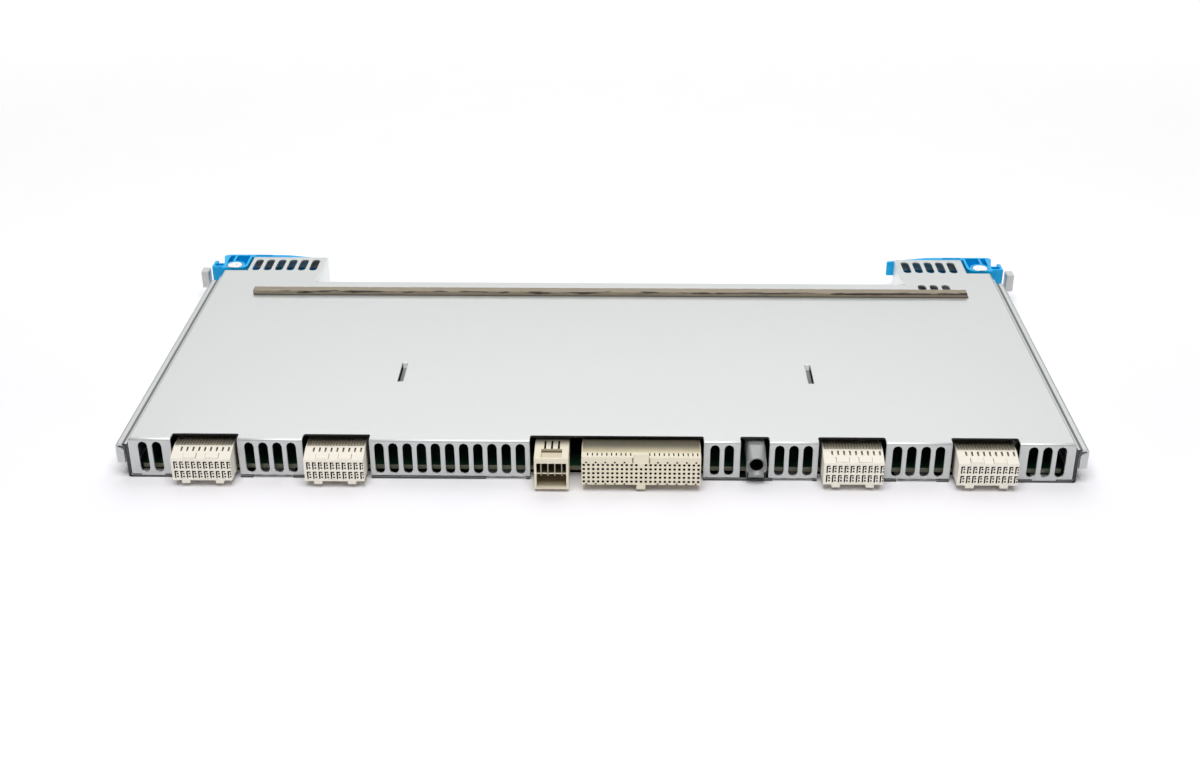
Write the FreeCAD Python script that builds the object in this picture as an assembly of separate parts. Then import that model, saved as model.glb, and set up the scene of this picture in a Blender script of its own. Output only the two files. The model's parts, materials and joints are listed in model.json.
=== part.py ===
import FreeCAD, Part
import math
import os

V = FreeCAD.Vector

# Working frame: X to the right, Y from the lip's outer face towards the levers, Z up from the tray floor.
# Every solid is moved to the part's own frame when it is saved.

# Sheet metal
SHEET = 1.0
BEND_RADIUS = 1.2
SEAM_GAP = 0.3
OVERCUT = 1.0

# Board and its supports
BOARD_LIFT = 2.2
BOARD_THICKNESS = 2.0
BOARD_SETBACK = 3.0
BOARD_SIDE_GAP = 3.4
BOARD_REAR_GAP = 4.7
BOARD_TOP = BOARD_LIFT + BOARD_THICKNESS
EDGE_GAP = 0.3

# Control connector: pitch grid with a centre key
CONTROL_X = 17.4
CONTROL_PITCH = 2.0
CONTROL_COLUMNS = 25
CONTROL_ROWS = 5
CONTROL_REACH = 9.9
CONTROL_DROP = 1.7
CONTROL_HEIGHT = 13.3
CONTROL_GRID_LIFT = 3.9
CONTROL_BACK = 13.0
CONTROL_HOLE = 1.1
CONTROL_HOLE_DEPTH = 2.0
KEY_WIDTH = 6.4
KEY_DEPTH = 2.4
KEY_FALL = 3.0
CONTROL_TAB_WIDTH = 3.8
CONTROL_TAB_DROP = 2.2
CONTROL_TAB_DEPTH = 4.95

# Paired signal connectors
LEFT_SIGNAL_INSET = 32.35
RIGHT_SIGNAL_INSET = 37.8
SIGNAL_SPACING = 56.1
SIGNAL_COLUMNS = 10
SIGNAL_PITCH = 2.5
SIGNAL_END_WALL = 0.15
SIGNAL_REACH = 8.1
SIGNAL_DROP = 2.0
SIGNAL_FACE_HEIGHT = 10.4
SIGNAL_REAR_RISE = 2.3
SIGNAL_RAMP_LENGTH = 7.6
SIGNAL_BACK = 14.0
PAIR_PITCH = 4.5
SHIELD_LENGTH = 3.4
SHIELD_FOOT = 1.4
SHIELD_INSET = 1.0
SHIELD_SLIT = 0.5
SHIELD_DEPTH = 1.6
SIGNAL_TAB_WIDTH = 3.5
SIGNAL_TAB_DROP = 1.4
SIGNAL_TAB_DEPTH = 4.05
SIGNAL_TAB_SPACING = 14.3

# Power connector
POWER_X = -20.2
POWER_WIDTH = 14.5
POWER_REACH = 10.5
POWER_DROP = 3.8
POWER_HEIGHT = 14.9
POWER_BACK = 14.0
POWER_WALL = 1.0
POWER_ROOF = 2.4
POWER_MOUTH_DEPTH = 11.0
POWER_SHELF = 0.6
POWER_SHELF_LIFT = 5.6
POWER_SHELF_SETBACK = 1.6
FINGER_COUNT = 4
FINGER_PITCH = 2.9
FINGER_WIDTH = 0.45
FINGER_THICKNESS = 0.5
FINGER_TIP = 0.6
FINGER_HEAD_GAP = 0.2
POCKET_WIDTH = 8.8
POCKET_LENGTH = 7.2
POCKET_DEPTH = 1.2
TOP_SLIT_COUNT = 3
TOP_SLIT_WIDTH = 0.65
TOP_SLIT_LENGTH = 9.0
TOP_SLIT_LAP = 1.5
TOP_SLIT_DEPTH = 1.6

# Guide socket
GUIDE_X = 66.2
GUIDE_WIDTH = 8.3
GUIDE_REACH = 4.0
GUIDE_DROP = 1.9
GUIDE_BORE_LIFT = 4.1
GUIDE_BORE_RADIUS = 2.75
GUIDE_BORE_DEPTH = 12.0
GUIDE_MOUTH_RADIUS = 3.1
GUIDE_NOSE_RISE = 3.7
GUIDE_TOP_RISE = 11.0
GUIDE_SLOPE_LENGTH = 6.5
GUIDE_BACK = 14.0
GUIDE_CHORDS = 8
GUIDE_KEEL_SETBACK = 1.2
GUIDE_TOP_EASE = 1.3

# Cover
COVER_WIDTH = 400.8
COVER_HEADROOM = 1.0
COVER_HEIGHT = BOARD_TOP - CONTROL_DROP + CONTROL_HEIGHT + COVER_HEADROOM + SHEET
COVER_FLANGE = 8.0
PANEL_DEPTH = 166.7
SIDE_RUN = 14.8
EAR_RUN = 17.8
EAR_STEP = 12.6
LEFT_EAR_WIDTH = 39.4
RIGHT_EAR_WIDTH = 35.1
LIP_CUT_DEPTH = 4.9
LIP_CUT_CORNER = 0.7
SIGNAL_CUT_GAP = 1.55
POWER_CUT_GAP = 2.25
CONTROL_CUT_GAP = 1.5
GUIDE_LEFT_GAP = 2.65
GUIDE_RIGHT_GAP = 1.25
FOOT_WIDTH = 10.0
FOOT_REACH = 8.0
LIP_LIFT = 0.6
RELIEF_LENGTH = 2.2
RELIEF_FALL = 4.8
FLANGE_CLEARANCE = 0.4

# Vent slots
SLOT_WIDTH = 4.0
SLOT_PITCH = 6.0
SLOT_LAND = 2.0
SLOT_THROUGH = 4.0
LIP_SLOT_FOOT = 1.4
LIP_SLOT_HEAD = 1.5
EAR_SLOT_LENGTH = 14.6
EAR_SLOT_EDGE = 3.1
EAR_SLOT_SHIFT = 0.8
TOP_VENT_INSET = 9.0
TOP_VENT_COUNT = 3
TOP_VENT_LENGTH = 7.0
REAR_VENT_X = (-105.0, 60.0)
REAR_VENT_COUNT = 3
REAR_VENT_LENGTH = 10.0
VENT_EDGE = 0.4
SLOT_CHORDS = 4

# Lanced tabs in the cover
LANCE_X = (-91.4, 94.4)
LANCE_WIDTH = 2.6
LANCE_START = 54.6
LANCE_LENGTH = 19.0
LANCE_RAMP = 1.2
LANCE_DROP = 2.3
LANCE_SIDE_GAP = 0.2
LANCE_END_GAP = 1.5

# Gasket
GASKET_LEFT_INSET = 22.25
GASKET_RIGHT_INSET = 17.55
GASKET_WIDTH = 5.4
GASKET_HEIGHT = 2.4
GASKET_CROWN = 0.9
GASKET_REAR_GAP = 11.4

# Tray
WALL_GAP = 0.6
RAIL_WIDTH = 3.9
RAIL_FALL = 2.6
RAIL_DROP = 9.1
RAIL_SETBACK = 7.2
WALL_SETBACK = 2.0
EAR_WALL_HEIGHT = 8.0
REAR_WALL_GAP = 0.2
FLOOR_CUT_DEPTH = 4.5
FLOOR_NOTCH_WIDTH = 17.0
FLOOR_NOTCH_DEPTH = 8.5
END_TAB_TOP_GAP = 0.7
LUG_SETBACK = 5.0
LUG_DEPTH = 6.0
LUG_WIDTH = 3.8
LUG_FALL = 2.4
LUG_HEIGHT = 9.0
LUG_CLEARANCE = 0.6
STRIP_HEIGHT = 2.8
STRIP_LAP = 9.0

# Levers and their pivots
PIVOT_INSET = 4.2
PIVOT_SETBACK = 7.5
RIVET_RADIUS = 2.5
RIVET_HEAD_RADIUS = 3.9
RIVET_HEAD = 0.8
RIVET_FOOT_RADIUS = 4.2
RIVET_DIMPLE = 0.9
RIVET_DIMPLE_DEPTH = 0.4
RIVET_SIDES = 20
PIVOT_CLEARANCE = 0.05
LEVER_CLEARANCE = 0.5
HEAD_CLEARANCE = 0.3
HEAD_RECESS = 0.1
HUB_FRONT = 4.4
HUB_OUTER = 6.0
HUB_INNER = 7.0
HUB_CORNER = 2.4
HUB_FLARE = 2.0
HUB_WALL = 1.3
HUB_RIB_U = -1.6
BOSS_RADIUS = 5.3
POCKET_FLOOR = 1.8
ARM_GAP = 0.6
ARM_THICKNESS = 2.9
ARM_TAPER = 1.2
ARM_LENGTH = 47.0
ARM_SLOPE_START = 26.0
ARM_SLOPE_DROP = 1.8
ARM_HOLE_U = 38.4
ARM_HOLE_RADIUS = 1.1
ARM_HOLE_FALL = 4.0
ARM_HOLE_SIDES = 8
GRIP_START = 17.5
GRIP_LENGTH = 19.0
GRIP_WIDTH = 9.9
GRIP_WALL = 1.5
GRIP_HEADROOM = 5.0
HOOK_REACH = 11.6
HOOK_FRONT = 2.7
HOOK_BACK = 2.1
HOOK_LIFT = 1.3
HOOK_WALL = 1.3
HOOK_BACK_WALL = 0.65
HOOK_POCKET = 3.0
TOOTH_DROP = 2.9
TOOTH_WIDTH = 1.7
TOOTH_SHOULDER = 1.2
TOOTH_ROOT = 4.0
PRONG_WIDTH = 2.0
PRONG_LENGTH = 3.2

# Board parts
SCREW_INSET = 16.0
SCREW_Y = (26.0, 140.0)
STANDOFF_RADIUS = 3.0
SCREW_RADIUS = 1.2
SCREW_SIDES = 6
SCREW_CLEARANCE = 0.05
BOARD_HOLE_CLEARANCE = 0.4
SCREW_HEAD_RADIUS = 2.75
SCREW_HEAD = 1.8
SCREW_TIP_GAP = 0.55
COVER_SCREW_HEAD_RADIUS = 2.4
CHIP = (35.0, 35.0, 2.9)
CHIP_AT = (8.0, 88.0)
PAD_THICKNESS = 0.5
SINK = (66.0, 56.0)
SINK_BASE = 2.5
SINK_FINS = 12
SINK_FIN = 1.2
SINK_HEADROOM = 0.8
SINK_PIN_INSET = 4.0
SINK_PIN_RADIUS = 1.5
SINK_PIN_HEAD = 2.6
SINK_PIN_HEAD_HEIGHT = 1.25
SINK_PIN_CLEARANCE = 0.1
SINK_PIN_TIP_GAP = 1.1
SINK_CORNER_GAP = 0.4
INDUCTOR = (10.0, 10.0, 6.0)
INDUCTOR_AT = ((-60.0, 62.0), (-60.0, 78.0), (-60.0, 94.0), (-60.0, 110.0))
CAPACITOR_RADIUS = 3.1
CAPACITOR_HEIGHT = 7.5
CAPACITOR_SIDES = 12
CAPACITOR_AT = ((-44.0, 62.0), (-44.0, 78.0), (-44.0, 94.0), (-44.0, 110.0))
MANAGEMENT_CHIP = (19.0, 19.0, 1.8)
MANAGEMENT_CHIP_AT = (112.0, 90.0)
MEMORY_CHIP = (12.0, 18.0, 1.2)
MEMORY_CHIP_AT = (136.0, 90.0)
LIGHT_PIPE_COUNT = 3
LIGHT_PIPE_PITCH = 6.0
LIGHT_PIPE_INSET = 19.1
LIGHT_PIPE_RADIUS = 1.5
LIGHT_PIPE_SIDES = 8
LIGHT_PIPE_BLOCK = 4.0
LIGHT_PIPE_LIFT = 4.0
LIGHT_PIPE_CLEARANCE = 0.1
LIGHT_PIPE_PROUD = 0.4

# Derived levels and places
COVER_UNDER = COVER_HEIGHT - SHEET
HALF_COVER = COVER_WIDTH / 2
SIDE_DEPTH = PANEL_DEPTH + SIDE_RUN
EAR_DEPTH = SIDE_DEPTH + EAR_RUN
EAR_OUTER_X = HALF_COVER - EAR_STEP
LEFT_EAR_X = LEFT_EAR_WIDTH - EAR_OUTER_X
RIGHT_EAR_X = EAR_OUTER_X - RIGHT_EAR_WIDTH
WALL_IN = HALF_COVER + WALL_GAP
WALL_OUT = WALL_IN + SHEET
RAIL_OUT = WALL_OUT + RAIL_WIDTH
RAIL_TOP = COVER_HEIGHT - RAIL_FALL
RAIL_BOTTOM = RAIL_TOP - RAIL_DROP
RAIL_END = SIDE_DEPTH - RAIL_SETBACK
WALL_END = SIDE_DEPTH - WALL_SETBACK
PIVOT_X = HALF_COVER - PIVOT_INSET
PIVOT_Y = SIDE_DEPTH + PIVOT_SETBACK
LEVER_BOTTOM = EAR_WALL_HEIGHT + LEVER_CLEARANCE
LEVER_TOP = COVER_HEIGHT
GRIP_TOP = COVER_UNDER - GRIP_HEADROOM
EAR_FLANGE_BOTTOM = GRIP_TOP + FLANGE_CLEARANCE
ARM_FRONT = EAR_DEPTH + ARM_GAP - PIVOT_Y
ARM_BACK = ARM_FRONT + ARM_THICKNESS
COUNTERBORE = RIVET_HEAD + HEAD_CLEARANCE + HEAD_RECESS
HOOK_BOTTOM = LEVER_BOTTOM + HOOK_LIFT
TOOTH_BOTTOM = HOOK_BOTTOM - TOOTH_DROP
STRIP_TOP = TOOTH_BOTTOM - LUG_CLEARANCE
STRIP_BOTTOM = STRIP_TOP - STRIP_HEIGHT
LUG_IN = PIVOT_X + math.hypot(HOOK_REACH, HOOK_BACK + PRONG_LENGTH) + LUG_CLEARANCE
LUG_OUT = LUG_IN + LUG_WIDTH
FRONT_REACH = max(POWER_REACH, CONTROL_REACH, SIGNAL_REACH, GUIDE_REACH)
REAR_REACH = PIVOT_Y + ARM_BACK
REAR_WALL_BACK = PANEL_DEPTH - SHEET
REAR_WALL_FRONT = REAR_WALL_BACK - SHEET
BOARD_HALF = HALF_COVER - SHEET - BOARD_SIDE_GAP
BOARD_BACK = REAR_WALL_FRONT - BOARD_REAR_GAP
SIGNAL_WIDTH = SIGNAL_COLUMNS * SIGNAL_PITCH + 2 * SIGNAL_END_WALL
CONTROL_WIDTH = CONTROL_COLUMNS * CONTROL_PITCH
TO_PART_FRAME = V(0, (FRONT_REACH - REAR_REACH) / 2, SHEET)


def block(x0, x1, y0, y1, z0, z1):
    """A box between two corners."""
    return Part.makeBox(x1 - x0, y1 - y0, z1 - z0, V(x0, y0, z0))


def flat_prism(points, z0, z1):
    """A plan outline of (x, y) points raised from z0 to z1."""
    wire = Part.makePolygon([V(x, y, z0) for x, y in points + points[:1]])
    return Part.Face(wire).extrude(V(0, 0, z1 - z0))


def side_prism(points, x0, x1):
    """A side outline of (y, z) points drawn out from x0 to x1."""
    wire = Part.makePolygon([V(x0, y, z) for y, z in points + points[:1]])
    return Part.Face(wire).extrude(V(x1 - x0, 0, 0))


def end_prism(points, y0, y1):
    """An end outline of (x, z) points drawn out from y0 to y1."""
    wire = Part.makePolygon([V(x, y0, z) for x, z in points + points[:1]])
    return Part.Face(wire).extrude(V(0, y1 - y0, 0))


def arc_points(x, y, radius, start, end, chords):
    """Points of an arc between two angles in degrees, in a few chords."""
    angles = [math.radians(start + (end - start) * i / chords) for i in range(chords + 1)]
    return [(x + radius * math.cos(a), y + radius * math.sin(a)) for a in angles]


def upright_cylinder(x, y, radius, z0, z1):
    """A cylinder along Z."""
    return Part.makeCylinder(radius, z1 - z0, V(x, y, z0))


def faceted_cylinder(x, y, radius, z0, z1, sides):
    """A small upright cylinder in a few flat sides."""
    return flat_prism(arc_points(x, y, radius, 0, 360, sides)[:-1], z0, z1)


def faceted_cone(x, y, bottom_radius, top_radius, z0, z1, sides):
    """A small upright cone in a few flat sides."""
    rings = []
    for radius, z in ((bottom_radius, z0), (top_radius, z1)):
        points = [V(px, py, z) for px, py in arc_points(x, y, radius, 0, 360, sides)]
        rings.append(Part.makePolygon(points))
    return Part.makeLoft(rings, True, True)


def fuse(shapes):
    """One solid from shapes that touch."""
    return shapes[0].multiFuse(shapes[1:]).removeSplitter()


def round_edges(shape, radius, wanted):
    """Fillet the straight edges for which wanted(first, last) is true."""
    picked = [e for e in shape.Edges if len(e.Vertexes) == 2
              and wanted(e.Vertexes[0].Point, e.Vertexes[1].Point)]
    return shape.makeFillet(radius, picked)


def near(a, b):
    """Whether two lengths are the same for picking edges."""
    return abs(a - b) < 1e-4


def mirrored(shape):
    """The same piece for the other side."""
    return shape.mirror(V(0, 0, 0), V(1, 0, 0))


def slot_prism(centre, width, length, depth, upright):
    """A round-ended slot through depth, lying along Y, or along Z when upright."""
    radius = width / 2
    reach = length / 2 - radius
    outline = arc_points(0, reach, radius, 0, 180, SLOT_CHORDS)
    outline += arc_points(0, -reach, radius, 180, 360, SLOT_CHORDS)
    prism = flat_prism(outline, -depth / 2, depth / 2)
    if upright:
        prism.rotate(V(0, 0, 0), V(1, 0, 0), 90)
    prism.translate(centre)
    return prism


def slot_row(start, end):
    """Centres of the slots that fit between two edges, in the middle of the space."""
    count = int((end - start - 2 * SLOT_LAND + SLOT_PITCH - SLOT_WIDTH) // SLOT_PITCH)
    first = (start + end) / 2 - (count - 1) * SLOT_PITCH / 2
    return [first + i * SLOT_PITCH for i in range(count)]


def signal_centres():
    """X of the four signal connectors, left to right."""
    left = LEFT_SIGNAL_INSET - HALF_COVER
    right = HALF_COVER - RIGHT_SIGNAL_INSET
    return [left, left + SIGNAL_SPACING, right - SIGNAL_SPACING, right]


def connector_cuts():
    """Lip cut-outs as (left, right, goes through the floor), left to right."""
    half = SIGNAL_WIDTH / 2 + SIGNAL_CUT_GAP
    cuts = [(x - half, x + half, True) for x in signal_centres()]
    main_left = POWER_X - POWER_WIDTH / 2 - POWER_CUT_GAP
    cuts.append((main_left, CONTROL_X + CONTROL_WIDTH / 2 + CONTROL_CUT_GAP, True))
    half = GUIDE_WIDTH / 2
    cuts.append((GUIDE_X - half - GUIDE_LEFT_GAP, GUIDE_X + half + GUIDE_RIGHT_GAP, False))
    return sorted(cuts)


def lip_segments():
    """Stretches of lip between the cut-outs as (left, right)."""
    cuts = connector_cuts()
    starts = [-HALF_COVER] + [cut[1] for cut in cuts]
    ends = [cut[0] for cut in cuts] + [HALF_COVER]
    return list(zip(starts, ends))


def foot_places():
    """Centres of the cover's screw feet as (x, y)."""
    segments = lip_segments()
    lips = [segments[0], segments[-1]]
    places = [((left + right) / 2, SHEET + FOOT_REACH / 2) for left, right in lips]
    middle = (SIDE_DEPTH + PANEL_DEPTH) / 2
    inset = SHEET + FOOT_REACH / 2
    places.append((LEFT_EAR_X - inset, middle))
    places.append((RIGHT_EAR_X + inset, middle))
    return places


def cover_shell():
    """Top, lip and side flanges of the cover with the outside of their bends rounded."""
    top = flat_prism([
        (-HALF_COVER, 0), (HALF_COVER, 0), (HALF_COVER, SIDE_DEPTH), (EAR_OUTER_X, SIDE_DEPTH),
        (EAR_OUTER_X, PANEL_DEPTH), (-EAR_OUTER_X, PANEL_DEPTH), (-EAR_OUTER_X, SIDE_DEPTH),
        (-HALF_COVER, SIDE_DEPTH),
    ], COVER_UNDER, COVER_HEIGHT)
    pieces = [top, block(-HALF_COVER, HALF_COVER, 0, SHEET, LIP_LIFT, COVER_HEIGHT)]
    for side in (-1, 1):
        edges = sorted((side * HALF_COVER, side * (HALF_COVER - SHEET)))
        pieces.append(block(*edges, 0, SIDE_DEPTH, COVER_HEIGHT - COVER_FLANGE, COVER_HEIGHT))

    def outer_bend(a, b):
        at_top = near(a.z, COVER_HEIGHT) and near(b.z, COVER_HEIGHT)
        front = near(a.y, 0) and near(b.y, 0)
        side = near(a.x, b.x) and near(abs(a.x), HALF_COVER)
        return at_top and (front or side)

    return round_edges(fuse(pieces), BEND_RADIUS, outer_bend)


def cover_ear(inner, outer):
    """One ear: its top, the wall bent down beside the recess and a flange along its rear edge."""
    wall_in = inner + math.copysign(SHEET, outer)
    plate = block(*sorted((inner, outer)), PANEL_DEPTH, EAR_DEPTH, COVER_UNDER, COVER_HEIGHT)
    flange = block(*sorted((inner, outer)), EAR_DEPTH - SHEET, EAR_DEPTH, EAR_FLANGE_BOTTOM, COVER_HEIGHT)
    wall = block(*sorted((inner, wall_in)), PANEL_DEPTH, EAR_DEPTH, 0, COVER_HEIGHT)

    def outer_bend(a, b):
        return near(a.x, inner) and near(b.x, inner) and near(a.z, COVER_HEIGHT) and near(b.z, a.z)

    return round_edges(fuse([plate, wall, flange]), BEND_RADIUS, outer_bend)


def cover_feet():
    """Screw feet turned in from the lip and from the ear walls."""
    half = FOOT_WIDTH / 2
    feet = []
    for x, y in foot_places():
        if y < FOOT_REACH:
            feet.append(block(x - half, x + half, 0, SHEET + FOOT_REACH, 0, SHEET))
        else:
            inner = LEFT_EAR_X if x < 0 else RIGHT_EAR_X
            tip = inner + math.copysign(SHEET + FOOT_REACH, x)
            feet.append(block(*sorted((inner, tip)), y - half, y + half, 0, SHEET))
    return feet


def lip_cut_tool(left, right):
    """A connector cut-out: through the lip and a little way into the top, its inner corners eased."""
    ease = LIP_CUT_CORNER
    return flat_prism([
        (left, -SHEET), (right, -SHEET), (right, LIP_CUT_DEPTH - ease), (right - ease, LIP_CUT_DEPTH),
        (left + ease, LIP_CUT_DEPTH), (left, LIP_CUT_DEPTH - ease),
    ], -SHEET, COVER_HEIGHT + SHEET)


def cover_slots():
    """Vent slots of the lip, the ears and the strip behind the gasket."""
    length = COVER_HEIGHT - LIP_SLOT_FOOT - LIP_SLOT_HEAD
    middle = LIP_SLOT_FOOT + length / 2
    tools = []
    for left, right in lip_segments():
        for x in slot_row(left, right):
            tools.append(slot_prism(V(x, 0, middle), SLOT_WIDTH, length, SLOT_THROUGH, True))
    ear_y = EAR_DEPTH - EAR_SLOT_EDGE - EAR_SLOT_LENGTH / 2
    for x in slot_row(-EAR_OUTER_X, LEFT_EAR_X) + slot_row(RIGHT_EAR_X, EAR_OUTER_X):
        at = V(x - EAR_SLOT_SHIFT, ear_y, COVER_HEIGHT)
        tools.append(slot_prism(at, SLOT_WIDTH, EAR_SLOT_LENGTH, SLOT_THROUGH, False))
    vent_y = PANEL_DEPTH - VENT_EDGE - TOP_VENT_LENGTH / 2
    for i in range(TOP_VENT_COUNT):
        at = V(RIGHT_EAR_X + TOP_VENT_INSET + i * SLOT_PITCH, vent_y, COVER_HEIGHT)
        tools.append(slot_prism(at, SLOT_WIDTH, TOP_VENT_LENGTH, SLOT_THROUGH, False))
    return tools


def lance_tab(x):
    """A tab cut from the cover on three sides and pressed down, level again in front of its steep root."""
    hinge = LANCE_START + LANCE_LENGTH
    root = hinge - LANCE_RAMP
    near_end = LANCE_START + LANCE_END_GAP
    half = LANCE_WIDTH / 2 - LANCE_SIDE_GAP
    profile = [
        (hinge, COVER_HEIGHT), (root, COVER_HEIGHT - LANCE_DROP), (near_end, COVER_HEIGHT - LANCE_DROP),
        (near_end, COVER_UNDER - LANCE_DROP), (root + SHEET, COVER_UNDER - LANCE_DROP),
        (hinge + SHEET, COVER_UNDER),
    ]
    return side_prism(profile, x - half, x + half)


def top_cover():
    """Folded cover with its cut-outs, slots, lanced tabs and screw holes."""
    ears = [cover_ear(LEFT_EAR_X, -EAR_OUTER_X), cover_ear(RIGHT_EAR_X, EAR_OUTER_X)]
    shape = fuse([cover_shell()] + ears + cover_feet())
    tools = [lip_cut_tool(left, right) for left, right, _ in connector_cuts()]
    tools += cover_slots()
    for x in LANCE_X:
        tools.append(block(x - LANCE_WIDTH / 2, x + LANCE_WIDTH / 2, LANCE_START,
                           LANCE_START + LANCE_LENGTH, COVER_UNDER - SHEET, COVER_HEIGHT + SHEET))
    for side in (-1, 1):
        edges = sorted((side * (HALF_COVER - 2 * SHEET), side * (HALF_COVER + SHEET)))
        tools.append(block(*edges, SHEET, SHEET + SEAM_GAP, 0, COVER_UNDER))
    for inner in (LEFT_EAR_X, RIGHT_EAR_X):
        tools.append(block(inner - SHEET, inner + SHEET, PANEL_DEPTH, PANEL_DEPTH + RELIEF_LENGTH,
                           -OVERCUT, COVER_HEIGHT - RELIEF_FALL))
    for x, y in foot_places():
        tools.append(faceted_cylinder(x, y, SCREW_RADIUS + SCREW_CLEARANCE, -SHEET, 2 * SHEET, SCREW_SIDES))
    return fuse([shape.cut(tools)] + [lance_tab(x) for x in LANCE_X])


def floor_outline():
    """Plan of the tray floor, with the two ears behind the recess."""
    left = LEFT_EAR_X - SHEET - SEAM_GAP
    right = RIGHT_EAR_X + SHEET + SEAM_GAP
    return [
        (-WALL_OUT, 0), (WALL_OUT, 0), (WALL_OUT, EAR_DEPTH), (right, EAR_DEPTH),
        (right, REAR_WALL_BACK), (left, REAR_WALL_BACK), (left, EAR_DEPTH), (-WALL_OUT, EAR_DEPTH),
    ]


def side_rail():
    """Right side wall, its outward rail that ends short of the lever and the rail's inward front tab."""
    section = [
        (WALL_IN, -SHEET), (WALL_OUT, -SHEET), (WALL_OUT, RAIL_TOP - SHEET),
        (RAIL_OUT - SHEET, RAIL_TOP - SHEET), (RAIL_OUT - SHEET, RAIL_BOTTOM), (RAIL_OUT, RAIL_BOTTOM),
        (RAIL_OUT, RAIL_TOP), (WALL_IN, RAIL_TOP),
    ]
    rail = end_prism(section, 0, RAIL_END)
    wall = block(WALL_IN, WALL_OUT, RAIL_END, WALL_END, -SHEET, RAIL_TOP)
    ear_wall = block(WALL_IN, WALL_OUT, WALL_END, EAR_DEPTH, -SHEET, EAR_WALL_HEIGHT)
    return [rail, wall, ear_wall, rail_end_tab()]


def rail_end_tab():
    """Tab that closes the rail's front end, its inner top corner swept off in an arc."""
    inner = WALL_OUT + SEAM_GAP
    outer = RAIL_OUT - SHEET
    top = RAIL_TOP - SHEET - END_TAB_TOP_GAP
    radius = outer - inner
    sweep = arc_points(outer, top - radius, radius, 90, 180, SLOT_CHORDS)
    return end_prism(sweep + [(inner, RAIL_BOTTOM), (outer, RAIL_BOTTOM)], 0, SHEET)


def rear_lug():
    """Right stop lug: a strip that drops from the rail's lip, runs on and folds into a box."""
    front = WALL_END + LUG_SETBACK
    top = COVER_HEIGHT - LUG_FALL
    bottom = top - LUG_HEIGHT
    rail_in = RAIL_OUT - SHEET
    return [
        block(rail_in, RAIL_OUT, RAIL_END - STRIP_LAP, RAIL_END, STRIP_BOTTOM, RAIL_BOTTOM + SHEET),
        block(rail_in, RAIL_OUT, RAIL_END, front + SHEET, STRIP_BOTTOM, STRIP_TOP),
        block(rail_in, LUG_IN + SHEET, front, front + SHEET, STRIP_BOTTOM, STRIP_TOP),
        block(LUG_IN, LUG_OUT, front, front + SHEET, bottom, top),
        block(LUG_IN, LUG_OUT, front, front + LUG_DEPTH, top - SHEET, top),
        block(LUG_OUT - SHEET, LUG_OUT, front, front + LUG_DEPTH, bottom, top),
        block(LUG_IN, LUG_IN + SHEET, front, front + LUG_DEPTH, STRIP_BOTTOM, top),
    ]


def floor_cut_tools():
    """Front notches of the floor: under the connectors and under some of the lip."""
    cuts = [(left, right, FLOOR_CUT_DEPTH) for left, right, through in connector_cuts() if through]
    _, second, third, _, fifth, sixth, _ = lip_segments()
    half = FLOOR_NOTCH_WIDTH / 2
    middles = [sum(segment) / 2 for segment in (second, fifth, sixth)]
    middles.append(third[1] - SLOT_LAND - half)
    cuts += [(x - half, x + half, FLOOR_NOTCH_DEPTH) for x in middles]
    return [block(left, right, -OVERCUT, depth, -SHEET - OVERCUT, OVERCUT) for left, right, depth in cuts]


def cover_screw(x, y):
    """Countersunk screw from under the floor into a cover foot."""
    head = faceted_cone(x, y, COVER_SCREW_HEAD_RADIUS, SCREW_RADIUS, -SHEET, 0, SCREW_SIDES)
    shank = faceted_cylinder(x, y, SCREW_RADIUS, 0, SHEET, SCREW_SIDES)
    return fuse([head, shank])


def light_pipe_centres():
    """X of the light pipes, near the right ear."""
    last = RIGHT_EAR_X - LIGHT_PIPE_INSET
    return [last - i * LIGHT_PIPE_PITCH for i in range(LIGHT_PIPE_COUNT)]


def pipe_prism(x, radius, y0, y1):
    """A light pipe's round section drawn out along Y."""
    ring = arc_points(x, BOARD_TOP + LIGHT_PIPE_LIFT, radius, 0, 360, LIGHT_PIPE_SIDES)
    return end_prism(ring[:-1], y0, y1)


def rear_wall():
    """Wall across the recess with vent slots and light pipe holes."""
    wall = block(LEFT_EAR_X - SHEET, RIGHT_EAR_X + SHEET, REAR_WALL_FRONT, REAR_WALL_BACK,
                 -SHEET, COVER_UNDER - REAR_WALL_GAP)
    middle = COVER_UNDER / 2
    tools = []
    for x in REAR_VENT_X:
        for i in range(REAR_VENT_COUNT):
            at = V(x + (i - (REAR_VENT_COUNT - 1) / 2) * SLOT_PITCH, REAR_WALL_FRONT, middle)
            tools.append(slot_prism(at, SLOT_WIDTH, REAR_VENT_LENGTH, SLOT_THROUGH, True))
    for x in light_pipe_centres():
        radius = LIGHT_PIPE_RADIUS + LIGHT_PIPE_CLEARANCE
        tools.append(pipe_prism(x, radius, REAR_WALL_FRONT - SHEET, REAR_WALL_BACK + SHEET))
    return wall.cut(tools)


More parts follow.
